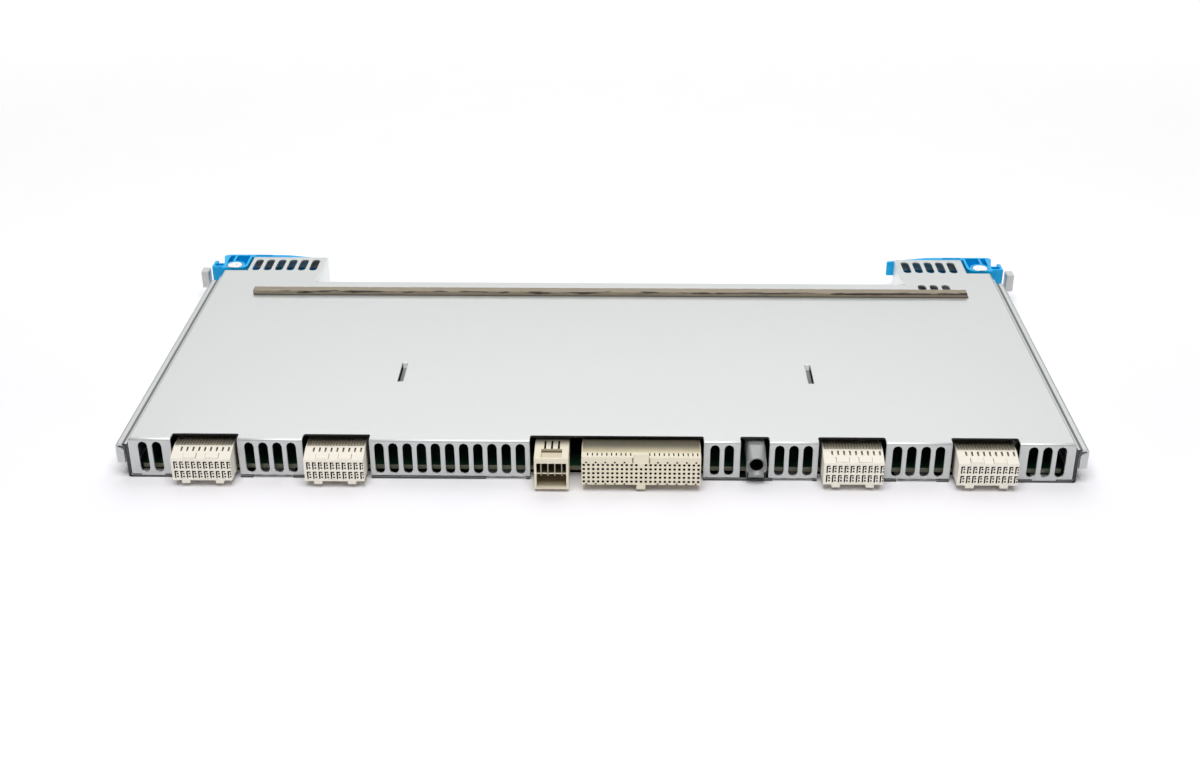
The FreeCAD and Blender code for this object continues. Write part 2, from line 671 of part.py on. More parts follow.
def base_tray():
    """Folded tray: floor, side walls, rails, ear walls, rear wall and lugs."""
    pieces = [flat_prism(floor_outline(), -SHEET, 0), rear_wall()]
    right = side_rail() + rear_lug()
    pieces += right + [mirrored(piece) for piece in right]
    left_end = LEFT_EAR_X - SHEET - SEAM_GAP
    right_start = RIGHT_EAR_X + SHEET + SEAM_GAP
    wall_y = (EAR_DEPTH - SHEET, EAR_DEPTH)
    pieces.append(block(-WALL_OUT, left_end, *wall_y, -SHEET, EAR_WALL_HEIGHT - LEVER_CLEARANCE))
    pieces.append(block(right_start, WALL_OUT, *wall_y, -SHEET, EAR_WALL_HEIGHT - LEVER_CLEARANCE))
    shape = fuse(pieces)

    def outer_bend(a, b):
        along_y = near(a.x, b.x) and near(a.z, b.z)
        floor = near(abs(a.x), WALL_OUT) and near(a.z, -SHEET)
        rail = near(abs(a.x), RAIL_OUT) and near(a.z, RAIL_TOP)
        return along_y and (floor or rail)

    shape = round_edges(shape, BEND_RADIUS, outer_bend)
    tools = floor_cut_tools()
    for x, y in foot_places():
        tools.append(faceted_cone(x, y, COVER_SCREW_HEAD_RADIUS, SCREW_RADIUS, -SHEET, 0, SCREW_SIDES))
    return shape.cut(tools)


def emi_gasket():
    """Fabric-over-foam strip with rounded top edges, lying across the cover."""
    back = PANEL_DEPTH - GASKET_REAR_GAP
    strip = block(GASKET_LEFT_INSET - HALF_COVER, HALF_COVER - GASKET_RIGHT_INSET, back - GASKET_WIDTH, back,
                  COVER_HEIGHT, COVER_HEIGHT + GASKET_HEIGHT)

    def top_edge(a, b):
        return near(a.z, COVER_HEIGHT + GASKET_HEIGHT) and near(b.z, a.z) and near(a.y, b.y)

    return round_edges(strip, GASKET_CROWN, top_edge)


def screw_places():
    """Board screw centres as (x, y)."""
    side = BOARD_HALF - SCREW_INSET
    return [(x, y) for x in (-side, 0, side) for y in SCREW_Y]


def sink_pin_places():
    """Heat sink pin centres at two opposite corners."""
    dx = SINK[0] / 2 - SINK_PIN_INSET
    dy = SINK[1] / 2 - SINK_PIN_INSET
    return [(CHIP_AT[0] - dx, CHIP_AT[1] + dy), (CHIP_AT[0] + dx, CHIP_AT[1] - dy)]


def circuit_board():
    """Bare board with screw and heat sink pin holes."""
    board = block(-BOARD_HALF, BOARD_HALF, BOARD_SETBACK, BOARD_BACK, BOARD_LIFT, BOARD_TOP)
    holes = [faceted_cylinder(x, y, SCREW_RADIUS + BOARD_HOLE_CLEARANCE, 0, COVER_HEIGHT, SCREW_SIDES)
             for x, y in screw_places()]
    holes += [faceted_cylinder(x, y, SINK_PIN_RADIUS + SINK_PIN_CLEARANCE, 0, COVER_HEIGHT, SCREW_SIDES)
              for x, y in sink_pin_places()]
    return board.cut(holes)


def board_standoff(x, y):
    """Pressed-in standoff between floor and board."""
    post = faceted_cylinder(x, y, STANDOFF_RADIUS, 0, BOARD_LIFT, SCREW_SIDES)
    return post.cut(faceted_cylinder(x, y, SCREW_RADIUS + SCREW_CLEARANCE, 0, BOARD_LIFT, SCREW_SIDES))


def board_screw(x, y):
    """Pan head screw through the board into its standoff."""
    shank = faceted_cylinder(x, y, SCREW_RADIUS, SCREW_TIP_GAP, BOARD_TOP, SCREW_SIDES)
    head = faceted_cylinder(x, y, SCREW_HEAD_RADIUS, BOARD_TOP, BOARD_TOP + SCREW_HEAD, SCREW_SIDES)
    return fuse([shank, head])


def signal_housing():
    """Signal connector outline seen from the side: low mating face, a ramp, taller body on the board."""
    bottom = BOARD_TOP - SIGNAL_DROP
    face_top = bottom + SIGNAL_FACE_HEIGHT
    top = face_top + SIGNAL_REAR_RISE
    edge = BOARD_SETBACK - EDGE_GAP
    return side_prism([
        (-SIGNAL_REACH, bottom), (-SIGNAL_REACH, face_top), (SIGNAL_RAMP_LENGTH - SIGNAL_REACH, top),
        (SIGNAL_BACK, top), (SIGNAL_BACK, BOARD_TOP), (edge, BOARD_TOP), (edge, bottom),
    ], -SIGNAL_WIDTH / 2, SIGNAL_WIDTH / 2)


def shield_slot(x, top):
    """L-shaped slot for one pair's shield: an upright slit with a foot along its top."""
    return end_prism([
        (x, top), (x + SHIELD_FOOT, top), (x + SHIELD_FOOT, top - SHIELD_SLIT),
        (x + SHIELD_SLIT, top - SHIELD_SLIT), (x + SHIELD_SLIT, top - SHIELD_LENGTH),
        (x, top - SHIELD_LENGTH),
    ], -SIGNAL_REACH - OVERCUT, -SIGNAL_REACH + SHIELD_DEPTH)


def signal_connector(centre):
    """Right-angle receptacle with two rows of shielded pairs and two feet under its face."""
    shape = signal_housing()
    bottom = BOARD_TOP - SIGNAL_DROP
    row_middle = bottom + SIGNAL_FACE_HEIGHT / 2
    tools = []
    for column in range(SIGNAL_COLUMNS):
        x = (column - SIGNAL_COLUMNS / 2) * SIGNAL_PITCH + SHIELD_INSET
        for row in (-1, 1):
            top = row_middle + row * PAIR_PITCH / 2 + SHIELD_LENGTH / 2
            tools.append(shield_slot(x, top))
    shape = shape.cut(tools)
    feet = []
    for side in (-1, 1):
        x = side * SIGNAL_TAB_SPACING / 2
        feet.append(block(x - SIGNAL_TAB_WIDTH / 2, x + SIGNAL_TAB_WIDTH / 2, -SIGNAL_REACH,
                          SIGNAL_TAB_DEPTH - SIGNAL_REACH, bottom - SIGNAL_TAB_DROP, bottom))
    shape = fuse([shape] + feet)
    shape.translate(V(centre, 0, 0))
    return shape


def control_key_cut(bottom, top):
    """Centre notch of the control connector, its floor sloping out to the face."""
    face = -CONTROL_REACH
    low = bottom + CONTROL_HEIGHT - KEY_FALL
    return side_prism([
        (face - OVERCUT, top + OVERCUT), (face + KEY_DEPTH, top + OVERCUT), (face + KEY_DEPTH, top),
        (face, low), (face - OVERCUT, low),
    ], -KEY_WIDTH / 2, KEY_WIDTH / 2)


def flared_hole(x, z):
    """One contact opening: a square lead-in that narrows to a point inside the face."""
    half = CONTROL_HOLE / 2
    front = -CONTROL_REACH
    corners = [V(x + dx * half, front, z + dz * half) for dx, dz in ((-1, -1), (1, -1), (1, 1), (-1, 1))]
    apex = V(x, front + CONTROL_HOLE_DEPTH, z)
    faces = [Part.Face(Part.makePolygon(corners + corners[:1]))]
    for a, b in zip(corners, corners[1:] + corners[:1]):
        faces.append(Part.Face(Part.makePolygon([a, b, apex, a])))
    return Part.makeSolid(Part.makeShell(faces))


def control_holes(bottom):
    """Contact openings on the grid, except the one right under the centre key."""
    grid_z = BOARD_TOP + CONTROL_GRID_LIFT
    key_floor = bottom + CONTROL_HEIGHT - KEY_FALL
    tools = []
    for column in range(CONTROL_COLUMNS):
        x = (column - (CONTROL_COLUMNS - 1) / 2) * CONTROL_PITCH
        for row in range(CONTROL_ROWS):
            z = grid_z + (row - (CONTROL_ROWS - 1) / 2) * CONTROL_PITCH
            under_key = abs(x) < CONTROL_PITCH / 2 and z > key_floor - CONTROL_PITCH
            if not under_key:
                tools.append(flared_hole(x, z))
    return tools


def control_connector():
    """Right-angle pitch-grid receptacle with a centre key and a foot under it."""
    bottom = BOARD_TOP - CONTROL_DROP
    top = bottom + CONTROL_HEIGHT
    body = side_prism([
        (-CONTROL_REACH, bottom), (-CONTROL_REACH, top), (CONTROL_BACK, top), (CONTROL_BACK, BOARD_TOP),
        (BOARD_SETBACK - EDGE_GAP, BOARD_TOP), (BOARD_SETBACK - EDGE_GAP, bottom),
    ], -CONTROL_WIDTH / 2, CONTROL_WIDTH / 2)
    shape = body.cut([control_key_cut(bottom, top)] + control_holes(bottom))
    foot = block(-CONTROL_TAB_WIDTH / 2, CONTROL_TAB_WIDTH / 2, -CONTROL_REACH,
                 CONTROL_TAB_DEPTH - CONTROL_REACH, bottom - CONTROL_TAB_DROP, bottom)
    shape = fuse([shape, foot])
    shape.translate(V(CONTROL_X, 0, 0))
    return shape


def finger_centres():
    """X of the power contacts about the connector's middle."""
    return [(i - (FINGER_COUNT - 1) / 2) * FINGER_PITCH for i in range(FINGER_COUNT)]


def power_mouth():
    """Hollow of the power connector around its shelf, as cutting tools."""
    half = POWER_WIDTH / 2 - POWER_WALL
    bottom = BOARD_TOP - POWER_DROP
    floor = bottom + POWER_WALL
    roof = bottom + POWER_HEIGHT - POWER_ROOF
    shelf = floor + POWER_SHELF_LIFT
    back = -POWER_REACH + POWER_MOUTH_DEPTH
    shelf_front = -POWER_REACH + POWER_SHELF_SETBACK
    return [
        block(-half, half, -POWER_REACH - OVERCUT, back, floor, shelf),
        block(-half, half, -POWER_REACH - OVERCUT, back, shelf + POWER_SHELF, roof),
        block(-half, half, -POWER_REACH - OVERCUT, shelf_front, floor, roof),
    ]


def power_connector():
    """Box connector: hooded mouth with a shelf, a pocket and slots on its top."""
    bottom = BOARD_TOP - POWER_DROP
    top = bottom + POWER_HEIGHT
    half = POWER_WIDTH / 2
    body = side_prism([
        (-POWER_REACH, bottom), (-POWER_REACH, top), (POWER_BACK, top), (POWER_BACK, BOARD_TOP),
        (BOARD_SETBACK - EDGE_GAP, BOARD_TOP), (BOARD_SETBACK - EDGE_GAP, bottom),
    ], -half, half)
    pocket_back = -POWER_REACH + POWER_WALL + POCKET_LENGTH
    tools = power_mouth()
    tools.append(block(-POCKET_WIDTH / 2, POCKET_WIDTH / 2, pocket_back - POCKET_LENGTH, pocket_back,
                       top - POCKET_DEPTH, top + OVERCUT))
    slit_front = pocket_back - TOP_SLIT_LAP
    for i in range(TOP_SLIT_COUNT):
        x = (i - (TOP_SLIT_COUNT - 1) / 2) * FINGER_PITCH
        tools.append(block(x - TOP_SLIT_WIDTH / 2, x + TOP_SLIT_WIDTH / 2, slit_front,
                           slit_front + TOP_SLIT_LENGTH, top - TOP_SLIT_DEPTH, top + OVERCUT))
    shape = body.cut(tools)
    shape.translate(V(POWER_X, 0, 0))
    return shape


def power_finger(x):
    """One contact lying on the shelf, its blade standing in front of the shelf's edge."""
    bottom = BOARD_TOP - POWER_DROP
    shelf_top = bottom + POWER_WALL + POWER_SHELF_LIFT + POWER_SHELF
    tip = shelf_top - POWER_SHELF - FINGER_TIP
    head = bottom + POWER_HEIGHT - POWER_ROOF - FINGER_HEAD_GAP
    shelf_front = -POWER_REACH + POWER_SHELF_SETBACK
    blade_front = shelf_front - FINGER_THICKNESS
    back = -POWER_REACH + POWER_MOUTH_DEPTH
    profile = [
        (blade_front, tip), (shelf_front, tip), (shelf_front, shelf_top), (back, shelf_top),
        (back, shelf_top + FINGER_THICKNESS), (shelf_front, shelf_top + FINGER_THICKNESS),
        (shelf_front, head), (blade_front, head),
    ]
    middle = POWER_X + x
    return side_prism(profile, middle - FINGER_WIDTH / 2, middle + FINGER_WIDTH / 2)


def guide_socket():
    """Die-cast block: a round-bellied nose with a sloped, eased top, a keel under it and a blind pin bore."""
    bottom = BOARD_TOP - GUIDE_DROP
    bore_z = BOARD_TOP + GUIDE_BORE_LIFT
    nose_top = bore_z + GUIDE_NOSE_RISE
    top = BOARD_TOP + GUIDE_TOP_RISE
    slope_end = -GUIDE_REACH + GUIDE_SLOPE_LENGTH
    half = GUIDE_WIDTH / 2
    edge = BOARD_SETBACK - EDGE_GAP
    crown = [
        (GUIDE_X + half, top - GUIDE_TOP_EASE), (GUIDE_X + half - GUIDE_TOP_EASE, top),
        (GUIDE_X - half + GUIDE_TOP_EASE, top), (GUIDE_X - half, top - GUIDE_TOP_EASE),
    ]
    belly = arc_points(GUIDE_X, bore_z, half, 180, 360, GUIDE_CHORDS)
    nose = end_prism(belly + crown, -GUIDE_REACH, edge)
    seat = end_prism([(GUIDE_X - half, BOARD_TOP), (GUIDE_X + half, BOARD_TOP)] + crown, edge, GUIDE_BACK)
    keel = block(GUIDE_X - half, GUIDE_X + half, GUIDE_KEEL_SETBACK - GUIDE_REACH, edge, bottom, bore_z)
    slope = side_prism([
        (-GUIDE_REACH, nose_top), (slope_end, top), (slope_end, top + OVERCUT), (-GUIDE_REACH, top + OVERCUT),
    ], GUIDE_X - half - OVERCUT, GUIDE_X + half + OVERCUT)
    body = fuse([nose, seat, keel])
    mouth_depth = GUIDE_MOUTH_RADIUS - GUIDE_BORE_RADIUS
    at = V(GUIDE_X, -GUIDE_REACH, bore_z)
    bore = Part.makeCylinder(GUIDE_BORE_RADIUS, GUIDE_BORE_DEPTH, at, V(0, 1, 0))
    mouth = Part.makeCone(GUIDE_MOUTH_RADIUS, GUIDE_BORE_RADIUS, mouth_depth, at, V(0, 1, 0))
    return body.cut([slope, bore, mouth])


def lever_hub():
    """Lever hub in plan, flared behind its pivot at the origin, two corners rounded."""
    outline = [(-HUB_OUTER, -HUB_FRONT)]
    outline += arc_points(HUB_INNER - HUB_FRONT, 0, HUB_FRONT, -90, 0, SLOT_CHORDS)
    outline.append((HUB_INNER, ARM_BACK))
    flared = -HUB_OUTER - HUB_FLARE
    outline += arc_points(HUB_CORNER + flared, ARM_BACK - HUB_CORNER, HUB_CORNER, 90, 180, SLOT_CHORDS)
    outline.append((-HUB_OUTER, HOOK_BACK))
    return flat_prism(outline, LEVER_BOTTOM, LEVER_TOP)


def lever_arm():
    """Thin arm behind the ear's edge, tapered in plan and falling towards its tip."""
    arm = flat_prism([
        (0, ARM_FRONT), (ARM_LENGTH, ARM_FRONT), (ARM_LENGTH, ARM_BACK - ARM_TAPER),
        (GRIP_START, ARM_BACK), (0, ARM_BACK),
    ], LEVER_BOTTOM, LEVER_TOP)
    reach = (ARM_FRONT - OVERCUT, ARM_BACK + OVERCUT)
    fall = end_prism([
        (ARM_SLOPE_START, LEVER_TOP), (ARM_LENGTH, LEVER_TOP - ARM_SLOPE_DROP),
        (ARM_LENGTH + OVERCUT, LEVER_TOP - ARM_SLOPE_DROP), (ARM_LENGTH + OVERCUT, LEVER_TOP + OVERCUT),
        (ARM_SLOPE_START, LEVER_TOP + OVERCUT),
    ], *reach)
    hole = arc_points(ARM_HOLE_U, LEVER_TOP - ARM_HOLE_FALL, ARM_HOLE_RADIUS, 0, 360, ARM_HOLE_SIDES)
    return arm.cut([fall, end_prism(hole[:-1], *reach)])


def lever_grip():
    """Finger block under the ear, hollow from below."""
    end = GRIP_START + GRIP_LENGTH
    front = ARM_FRONT - GRIP_WIDTH
    shell = block(GRIP_START, end, front, ARM_FRONT, LEVER_BOTTOM, GRIP_TOP)
    hollow = block(GRIP_START + GRIP_WALL, end - GRIP_WALL, front + GRIP_WALL, ARM_FRONT - GRIP_WALL,
                   LEVER_BOTTOM - OVERCUT, GRIP_TOP - GRIP_WALL)
    return shell.cut(hollow)


def lever_hook():
    """Ejecting hook outside the tray wall: a pocketed bar with a prong and a hanging tooth."""
    bar = block(-HOOK_REACH, -HUB_OUTER, -HOOK_FRONT, HOOK_BACK, HOOK_BOTTOM, LEVER_TOP)
    prong = block(-HOOK_REACH, PRONG_WIDTH - HOOK_REACH, HOOK_BACK, HOOK_BACK + PRONG_LENGTH,
                  HOOK_BOTTOM, LEVER_TOP)
    pocket = block(-HOOK_REACH + HOOK_WALL, -HUB_OUTER, HOOK_WALL - HOOK_FRONT, HOOK_BACK - HOOK_BACK_WALL,
                   LEVER_TOP - HOOK_POCKET, LEVER_TOP + OVERCUT)
    tooth_in = TOOTH_WIDTH - HOOK_REACH
    tooth = end_prism([
        (-HOOK_REACH, HOOK_BOTTOM), (-HOOK_REACH, TOOTH_BOTTOM), (tooth_in, TOOTH_BOTTOM),
        (tooth_in, HOOK_BOTTOM - TOOTH_SHOULDER), (TOOTH_ROOT - HOOK_REACH, HOOK_BOTTOM),
    ], -HOOK_FRONT, HOOK_BACK)
    return [bar.cut(pocket), prong, tooth]


def hub_pockets():
    """Cored pockets behind the pivot boss, either side of a rib, and one in the arm's root."""
    floor = LEVER_BOTTOM + POCKET_FLOOR
    back = ARM_BACK - HUB_WALL
    left = HUB_WALL - HUB_OUTER
    right = HUB_INNER - HUB_WALL
    outlines = []
    for start, end in ((left, HUB_RIB_U - HUB_WALL / 2), (HUB_RIB_U + HUB_WALL / 2, right)):
        angles = [math.degrees(math.acos(max(-1, min(1, u / BOSS_RADIUS)))) for u in (start, end)]
        round_boss = arc_points(0, 0, BOSS_RADIUS, *angles, SLOT_CHORDS)
        outlines.append([(start, back)] + round_boss + [(end, round_boss[-1][1]), (end, back)])
    arm_wall = (ARM_THICKNESS - HUB_WALL) / 2
    outlines.append([
        (HUB_INNER + HUB_WALL, ARM_FRONT + arm_wall), (GRIP_START, ARM_FRONT + arm_wall),
        (GRIP_START, ARM_BACK - arm_wall), (HUB_INNER + HUB_WALL, ARM_BACK - arm_wall),
    ])
    return [flat_prism(outline, floor, LEVER_TOP + OVERCUT) for outline in outlines]


def left_lever():
    """Moulded ejector lever on the left pivot."""
    shape = fuse([lever_hub(), lever_arm(), lever_grip()] + lever_hook())
    over = LEVER_TOP + OVERCUT
    bore = upright_cylinder(0, 0, RIVET_RADIUS + PIVOT_CLEARANCE, LEVER_BOTTOM - OVERCUT, over)
    seat_radius = RIVET_HEAD_RADIUS + HEAD_CLEARANCE
    seat = faceted_cylinder(0, 0, seat_radius, LEVER_TOP - COUNTERBORE, over, RIVET_SIDES)
    shape = shape.cut([bore, seat] + hub_pockets())
    shape.translate(V(-PIVOT_X, PIVOT_Y, 0))
    return shape


def left_pivot_rivet():
    """Shoulder rivet on the tray floor that carries the left lever."""
    at = (-PIVOT_X, PIVOT_Y)
    shoulder = LEVER_BOTTOM - HEAD_CLEARANCE
    head_bottom = LEVER_TOP - COUNTERBORE + HEAD_CLEARANCE
    foot = faceted_cylinder(*at, RIVET_FOOT_RADIUS, 0, shoulder, SCREW_SIDES)
    shank = upright_cylinder(*at, RIVET_RADIUS, shoulder, head_bottom)
    head = faceted_cylinder(*at, RIVET_HEAD_RADIUS, head_bottom, head_bottom + RIVET_HEAD, RIVET_SIDES)
    dimple = faceted_cylinder(*at, RIVET_DIMPLE, head_bottom + RIVET_HEAD - RIVET_DIMPLE_DEPTH, LEVER_TOP,
                              SCREW_SIDES)
    return fuse([foot, shank, head]).cut(dimple)


def board_block(size, at):
    """A flat package standing on the board."""
    x, y = at
    length, depth, height = size
    return block(x - length / 2, x + length / 2, y - depth / 2, y + depth / 2, BOARD_TOP, BOARD_TOP + height)


def thermal_pad():
    """Soft pad between chip and heat sink."""
    pad = board_block((CHIP[0], CHIP[1], PAD_THICKNESS), CHIP_AT)
    pad.translate(V(0, 0, CHIP[2]))
    return pad


def heat_sink():
    """Finned block on the chip, fins along the air flow, two corners left clear for pins."""
    base_z = BOARD_TOP + CHIP[2] + PAD_THICKNESS
    top = COVER_UNDER - SINK_HEADROOM
    x0 = CHIP_AT[0] - SINK[0] / 2
    y0 = CHIP_AT[1] - SINK[1] / 2
    pieces = [block(x0, x0 + SINK[0], y0, y0 + SINK[1], base_z, base_z + SINK_BASE)]
    step = (SINK[0] - SINK_FIN) / (SINK_FINS - 1)
    for i in range(SINK_FINS):
        x = x0 + i * step
        pieces.append(block(x, x + SINK_FIN, y0, y0 + SINK[1], base_z, top))
    clear = SINK_PIN_HEAD + SINK_CORNER_GAP
    bore = SINK_PIN_RADIUS + SINK_PIN_CLEARANCE
    tools = []
    for x, y in sink_pin_places():
        tools.append(faceted_cylinder(x, y, bore, 0, COVER_HEIGHT, SCREW_SIDES))
        tools.append(block(x - clear, x + clear, y - clear, y + clear, base_z + SINK_BASE, COVER_HEIGHT))
    return fuse(pieces).cut(tools)


def heat_sink_pin(x, y):
    """Push pin through heat sink and board."""
    seat = BOARD_TOP + CHIP[2] + PAD_THICKNESS + SINK_BASE
    shank = faceted_cylinder(x, y, SINK_PIN_RADIUS, SINK_PIN_TIP_GAP, seat, SCREW_SIDES)
    head = faceted_cylinder(x, y, SINK_PIN_HEAD, seat, seat + SINK_PIN_HEAD_HEIGHT, SCREW_SIDES)
    return fuse([shank, head])


def bulk_capacitor(at):
    """Can capacitor standing on the board."""
    x, y = at
    return faceted_cylinder(x, y, CAPACITOR_RADIUS, BOARD_TOP, BOARD_TOP + CAPACITOR_HEIGHT, CAPACITOR_SIDES)


def light_pipe(x):
    """Clear pipe from a block on the board through the rear wall."""
    half = LIGHT_PIPE_BLOCK / 2
    z = BOARD_TOP + LIGHT_PIPE_LIFT
    base = block(x - half, x + half, BOARD_BACK - LIGHT_PIPE_BLOCK, BOARD_BACK, BOARD_TOP, z + half)
    return fuse([base, pipe_prism(x, LIGHT_PIPE_RADIUS, BOARD_BACK, REAR_WALL_BACK + LIGHT_PIPE_PROUD)])


def all_nodes():
    """Every node's name with its shape in the working frame."""
    lever = left_lever()
    rivet = left_pivot_rivet()
    nodes = {
        "base_tray": base_tray(),
        "top_cover": top_cover(),
        "emi_gasket": emi_gasket(),
        "circuit_board": circuit_board(),
        "control_connector": control_connector(),
        "power_connector": power_connector(),
        "power_contacts": Part.makeCompound([power_finger(x) for x in finger_centres()]),
        "guide_socket": guide_socket(),
        "left_lever": lever,
        "right_lever": mirrored(lever),
        "left_pivot_rivet": rivet,
        "right_pivot_rivet": mirrored(rivet),
        "board_standoffs": Part.makeCompound([board_standoff(x, y) for x, y in screw_places()]),
        "board_screws": Part.makeCompound([board_screw(x, y) for x, y in screw_places()]),
        "cover_screws": Part.makeCompound([cover_screw(x, y) for x, y in foot_places()]),
        "switch_chip": board_block(CHIP, CHIP_AT),
        "thermal_pad": thermal_pad(),
        "heat_sink": heat_sink(),
        "heat_sink_pins": Part.makeCompound([heat_sink_pin(x, y) for x, y in sink_pin_places()]),
        "power_inductors": Part.makeCompound([board_block(INDUCTOR, at) for at in INDUCTOR_AT]),
        "bulk_capacitors": Part.makeCompound([bulk_capacitor(at) for at in CAPACITOR_AT]),
        "management_chip": board_block(MANAGEMENT_CHIP, MANAGEMENT_CHIP_AT),
        "memory_chip": board_block(MEMORY_CHIP, MEMORY_CHIP_AT),
        "light_pipes": Part.makeCompound([light_pipe(x) for x in light_pipe_centres()]),
    }
    for number, x in enumerate(signal_centres(), start=1):
        nodes[f"signal_connector_{number}"] = signal_connector(x)
    return nodes


def main():
    """Save every node in the part's own frame."""
    os.makedirs("parts", exist_ok=True)
    for name, shape in all_nodes().items():
        shape.translate(TO_PART_FRAME)
        shape.exportStep(f"parts/{name}.step")


main()
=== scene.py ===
"""Looks of a storage switch board: finishes, moulded connectors, gasket and studio around its CAD frame."""

from __future__ import annotations

import json
import logging
import math
from dataclasses import dataclass, field
from enum import Enum

import bmesh
import bpy
from bmesh.types import BMEdge, BMesh, BMFace, BMVert
from bpy.types import Material, Node, NodeSocket, NodeTree, Object
from mathutils import Euler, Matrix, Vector, noise

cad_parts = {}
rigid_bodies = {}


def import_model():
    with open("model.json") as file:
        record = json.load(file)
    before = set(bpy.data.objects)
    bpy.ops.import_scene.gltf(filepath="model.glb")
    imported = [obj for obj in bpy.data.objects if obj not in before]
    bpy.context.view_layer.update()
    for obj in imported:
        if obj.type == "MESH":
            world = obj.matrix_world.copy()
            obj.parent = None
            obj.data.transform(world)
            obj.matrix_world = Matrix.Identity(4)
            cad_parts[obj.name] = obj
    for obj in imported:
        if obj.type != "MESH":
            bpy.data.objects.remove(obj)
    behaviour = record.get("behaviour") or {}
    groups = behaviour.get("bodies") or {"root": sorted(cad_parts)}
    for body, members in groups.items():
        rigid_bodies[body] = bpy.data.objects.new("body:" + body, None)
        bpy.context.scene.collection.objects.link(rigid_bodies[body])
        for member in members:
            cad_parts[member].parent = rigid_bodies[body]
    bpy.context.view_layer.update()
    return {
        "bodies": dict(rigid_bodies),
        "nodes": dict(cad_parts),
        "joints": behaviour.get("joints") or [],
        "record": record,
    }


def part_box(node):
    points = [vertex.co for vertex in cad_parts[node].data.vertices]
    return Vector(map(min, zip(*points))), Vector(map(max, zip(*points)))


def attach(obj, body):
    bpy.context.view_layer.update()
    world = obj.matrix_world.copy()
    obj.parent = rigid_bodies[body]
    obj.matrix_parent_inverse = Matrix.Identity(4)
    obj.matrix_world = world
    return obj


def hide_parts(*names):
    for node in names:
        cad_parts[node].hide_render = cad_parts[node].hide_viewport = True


LOG = logging.getLogger("switch_board")
MM = 0.001
WELD_GAP = 0.001 * MM
BEVEL_STEPS = 2
CUT_DIGITS = 7
CHASSIS = "chassis"
Triple = tuple[float, float, float]
Rect = tuple[float, float, float, float]
Sockets = dict[str, NodeSocket]


class Slot(str, Enum):
    """Names of material slots in the record."""

    CONNECTOR = "connector_plastic"
    CASTING = "die_cast"
    FABRIC = "gasket_fabric"
    RIVET = "rivet_steel"


class Kind(str, Enum):
    """Sockets of a shader group."""

    FLOAT = "NodeSocketFloat"
    COLOR = "NodeSocketColor"
    VECTOR = "NodeSocketVector"


class Graph:
    """Short ways to add and join the nodes of one shader tree."""

    def __init__(self, tree: NodeTree) -> None:
        """Hold the tree of a material, a group or the world."""
        self.tree = tree

    def add(self, kind: str, **values: object) -> Node:
        """Add a node and set its options and inputs.

        Args:
            kind: Blender's node type name.
            values: Options by attribute name, then inputs by socket name with spaces as underscores.

        Returns:
            The new node.
        """
        node = self.tree.nodes.new(kind)
        for key, value in values.items():
            if hasattr(node, key):
                setattr(node, key, value)
            else:
                self.join(value, node.inputs[key.replace("_", " ")])
        return node

    def join(self, source: object, target: NodeSocket) -> None:
        """Link an output to an input, or set the input to a value.

        Args:
            source: The output, or the value.
            target: The input.
        """
        if isinstance(source, NodeSocket):
            self.tree.links.new(source, target)
        else:
            target.default_value = source

    def place(self) -> NodeSocket:
        """Object coordinates."""
        return self.add("ShaderNodeTexCoord").outputs["Object"]

    def split(self, source: NodeSocket) -> list[NodeSocket]:
        """Part a vector into its X, Y and Z."""
        return list(self.add("ShaderNodeSeparateXYZ", Vector=source).outputs)

    def noise(self, place: NodeSocket, **values: object) -> NodeSocket:
        """Add a noise texture that is looked up at a place."""
        return self.add("ShaderNodeTexNoise", Vector=place, **values).outputs[0]

    def scaled(self, color: object, factor: NodeSocket) -> NodeSocket:
        """Multiply a colour by a changing value."""
        return self.add("ShaderNodeVectorMath", operation="SCALE", Vector=color, Scale=factor).outputs[0]

    def math(self, operation: str, *values: object) -> NodeSocket:
        """Add a math node.

        Args:
            operation: The node's operation.
            values: Its inputs in order, as sockets or numbers.

        Returns:
            The result's socket.
        """
        node = self.add("ShaderNodeMath", operation=operation)
        for value, target in zip(values, node.inputs):
            self.join(value, target)
        return node.outputs[0]

    def measure(self, operation: str, *vectors: NodeSocket) -> NodeSocket:
        """Add a vector math node that gives a value.

        Args:
            operation: The node's operation, such as LENGTH.
            vectors: Its one or two vectors.

        Returns:
            The value's socket.
        """
        node = self.add("ShaderNodeVectorMath", operation=operation)
        for vector, target in zip(vectors, node.inputs):
            self.join(vector, target)
        return node.outputs["Value"]

    def ramp(self, value: NodeSocket, ends: tuple[object, object], results: tuple[object, object],
             smooth: bool = True) -> NodeSocket:
        """Turn one range of a value into another and hold it beyond both ends.

        Args:
            value: The value's socket.
            ends: Both ends of the range, as sockets or numbers.
            results: The results there, as sockets or numbers.
            smooth: Whether the change eases in and out.

        Returns:
            The result's socket.
        """
        node = self.add("ShaderNodeMapRange", interpolation_type="SMOOTHSTEP" if smooth else "LINEAR",
                        Value=value, From_Min=ends[0], From_Max=ends[1], To_Min=results[0], To_Max=results[1])
        return node.outputs[0]

    def blend(self, factor: NodeSocket, first: Triple, second: Triple) -> NodeSocket:
        """Add a colour ramp.

        Args:
            factor: The value's socket.
            first: The colour at 0.
            second: The colour at 1.

        Returns:
            The colour's socket.
        """
        node = self.add("ShaderNodeValToRGB", Fac=factor)
        for element, color in zip(node.color_ramp.elements, (first, second)):
            element.color = (*color, 1.0)
        return node.outputs[0]


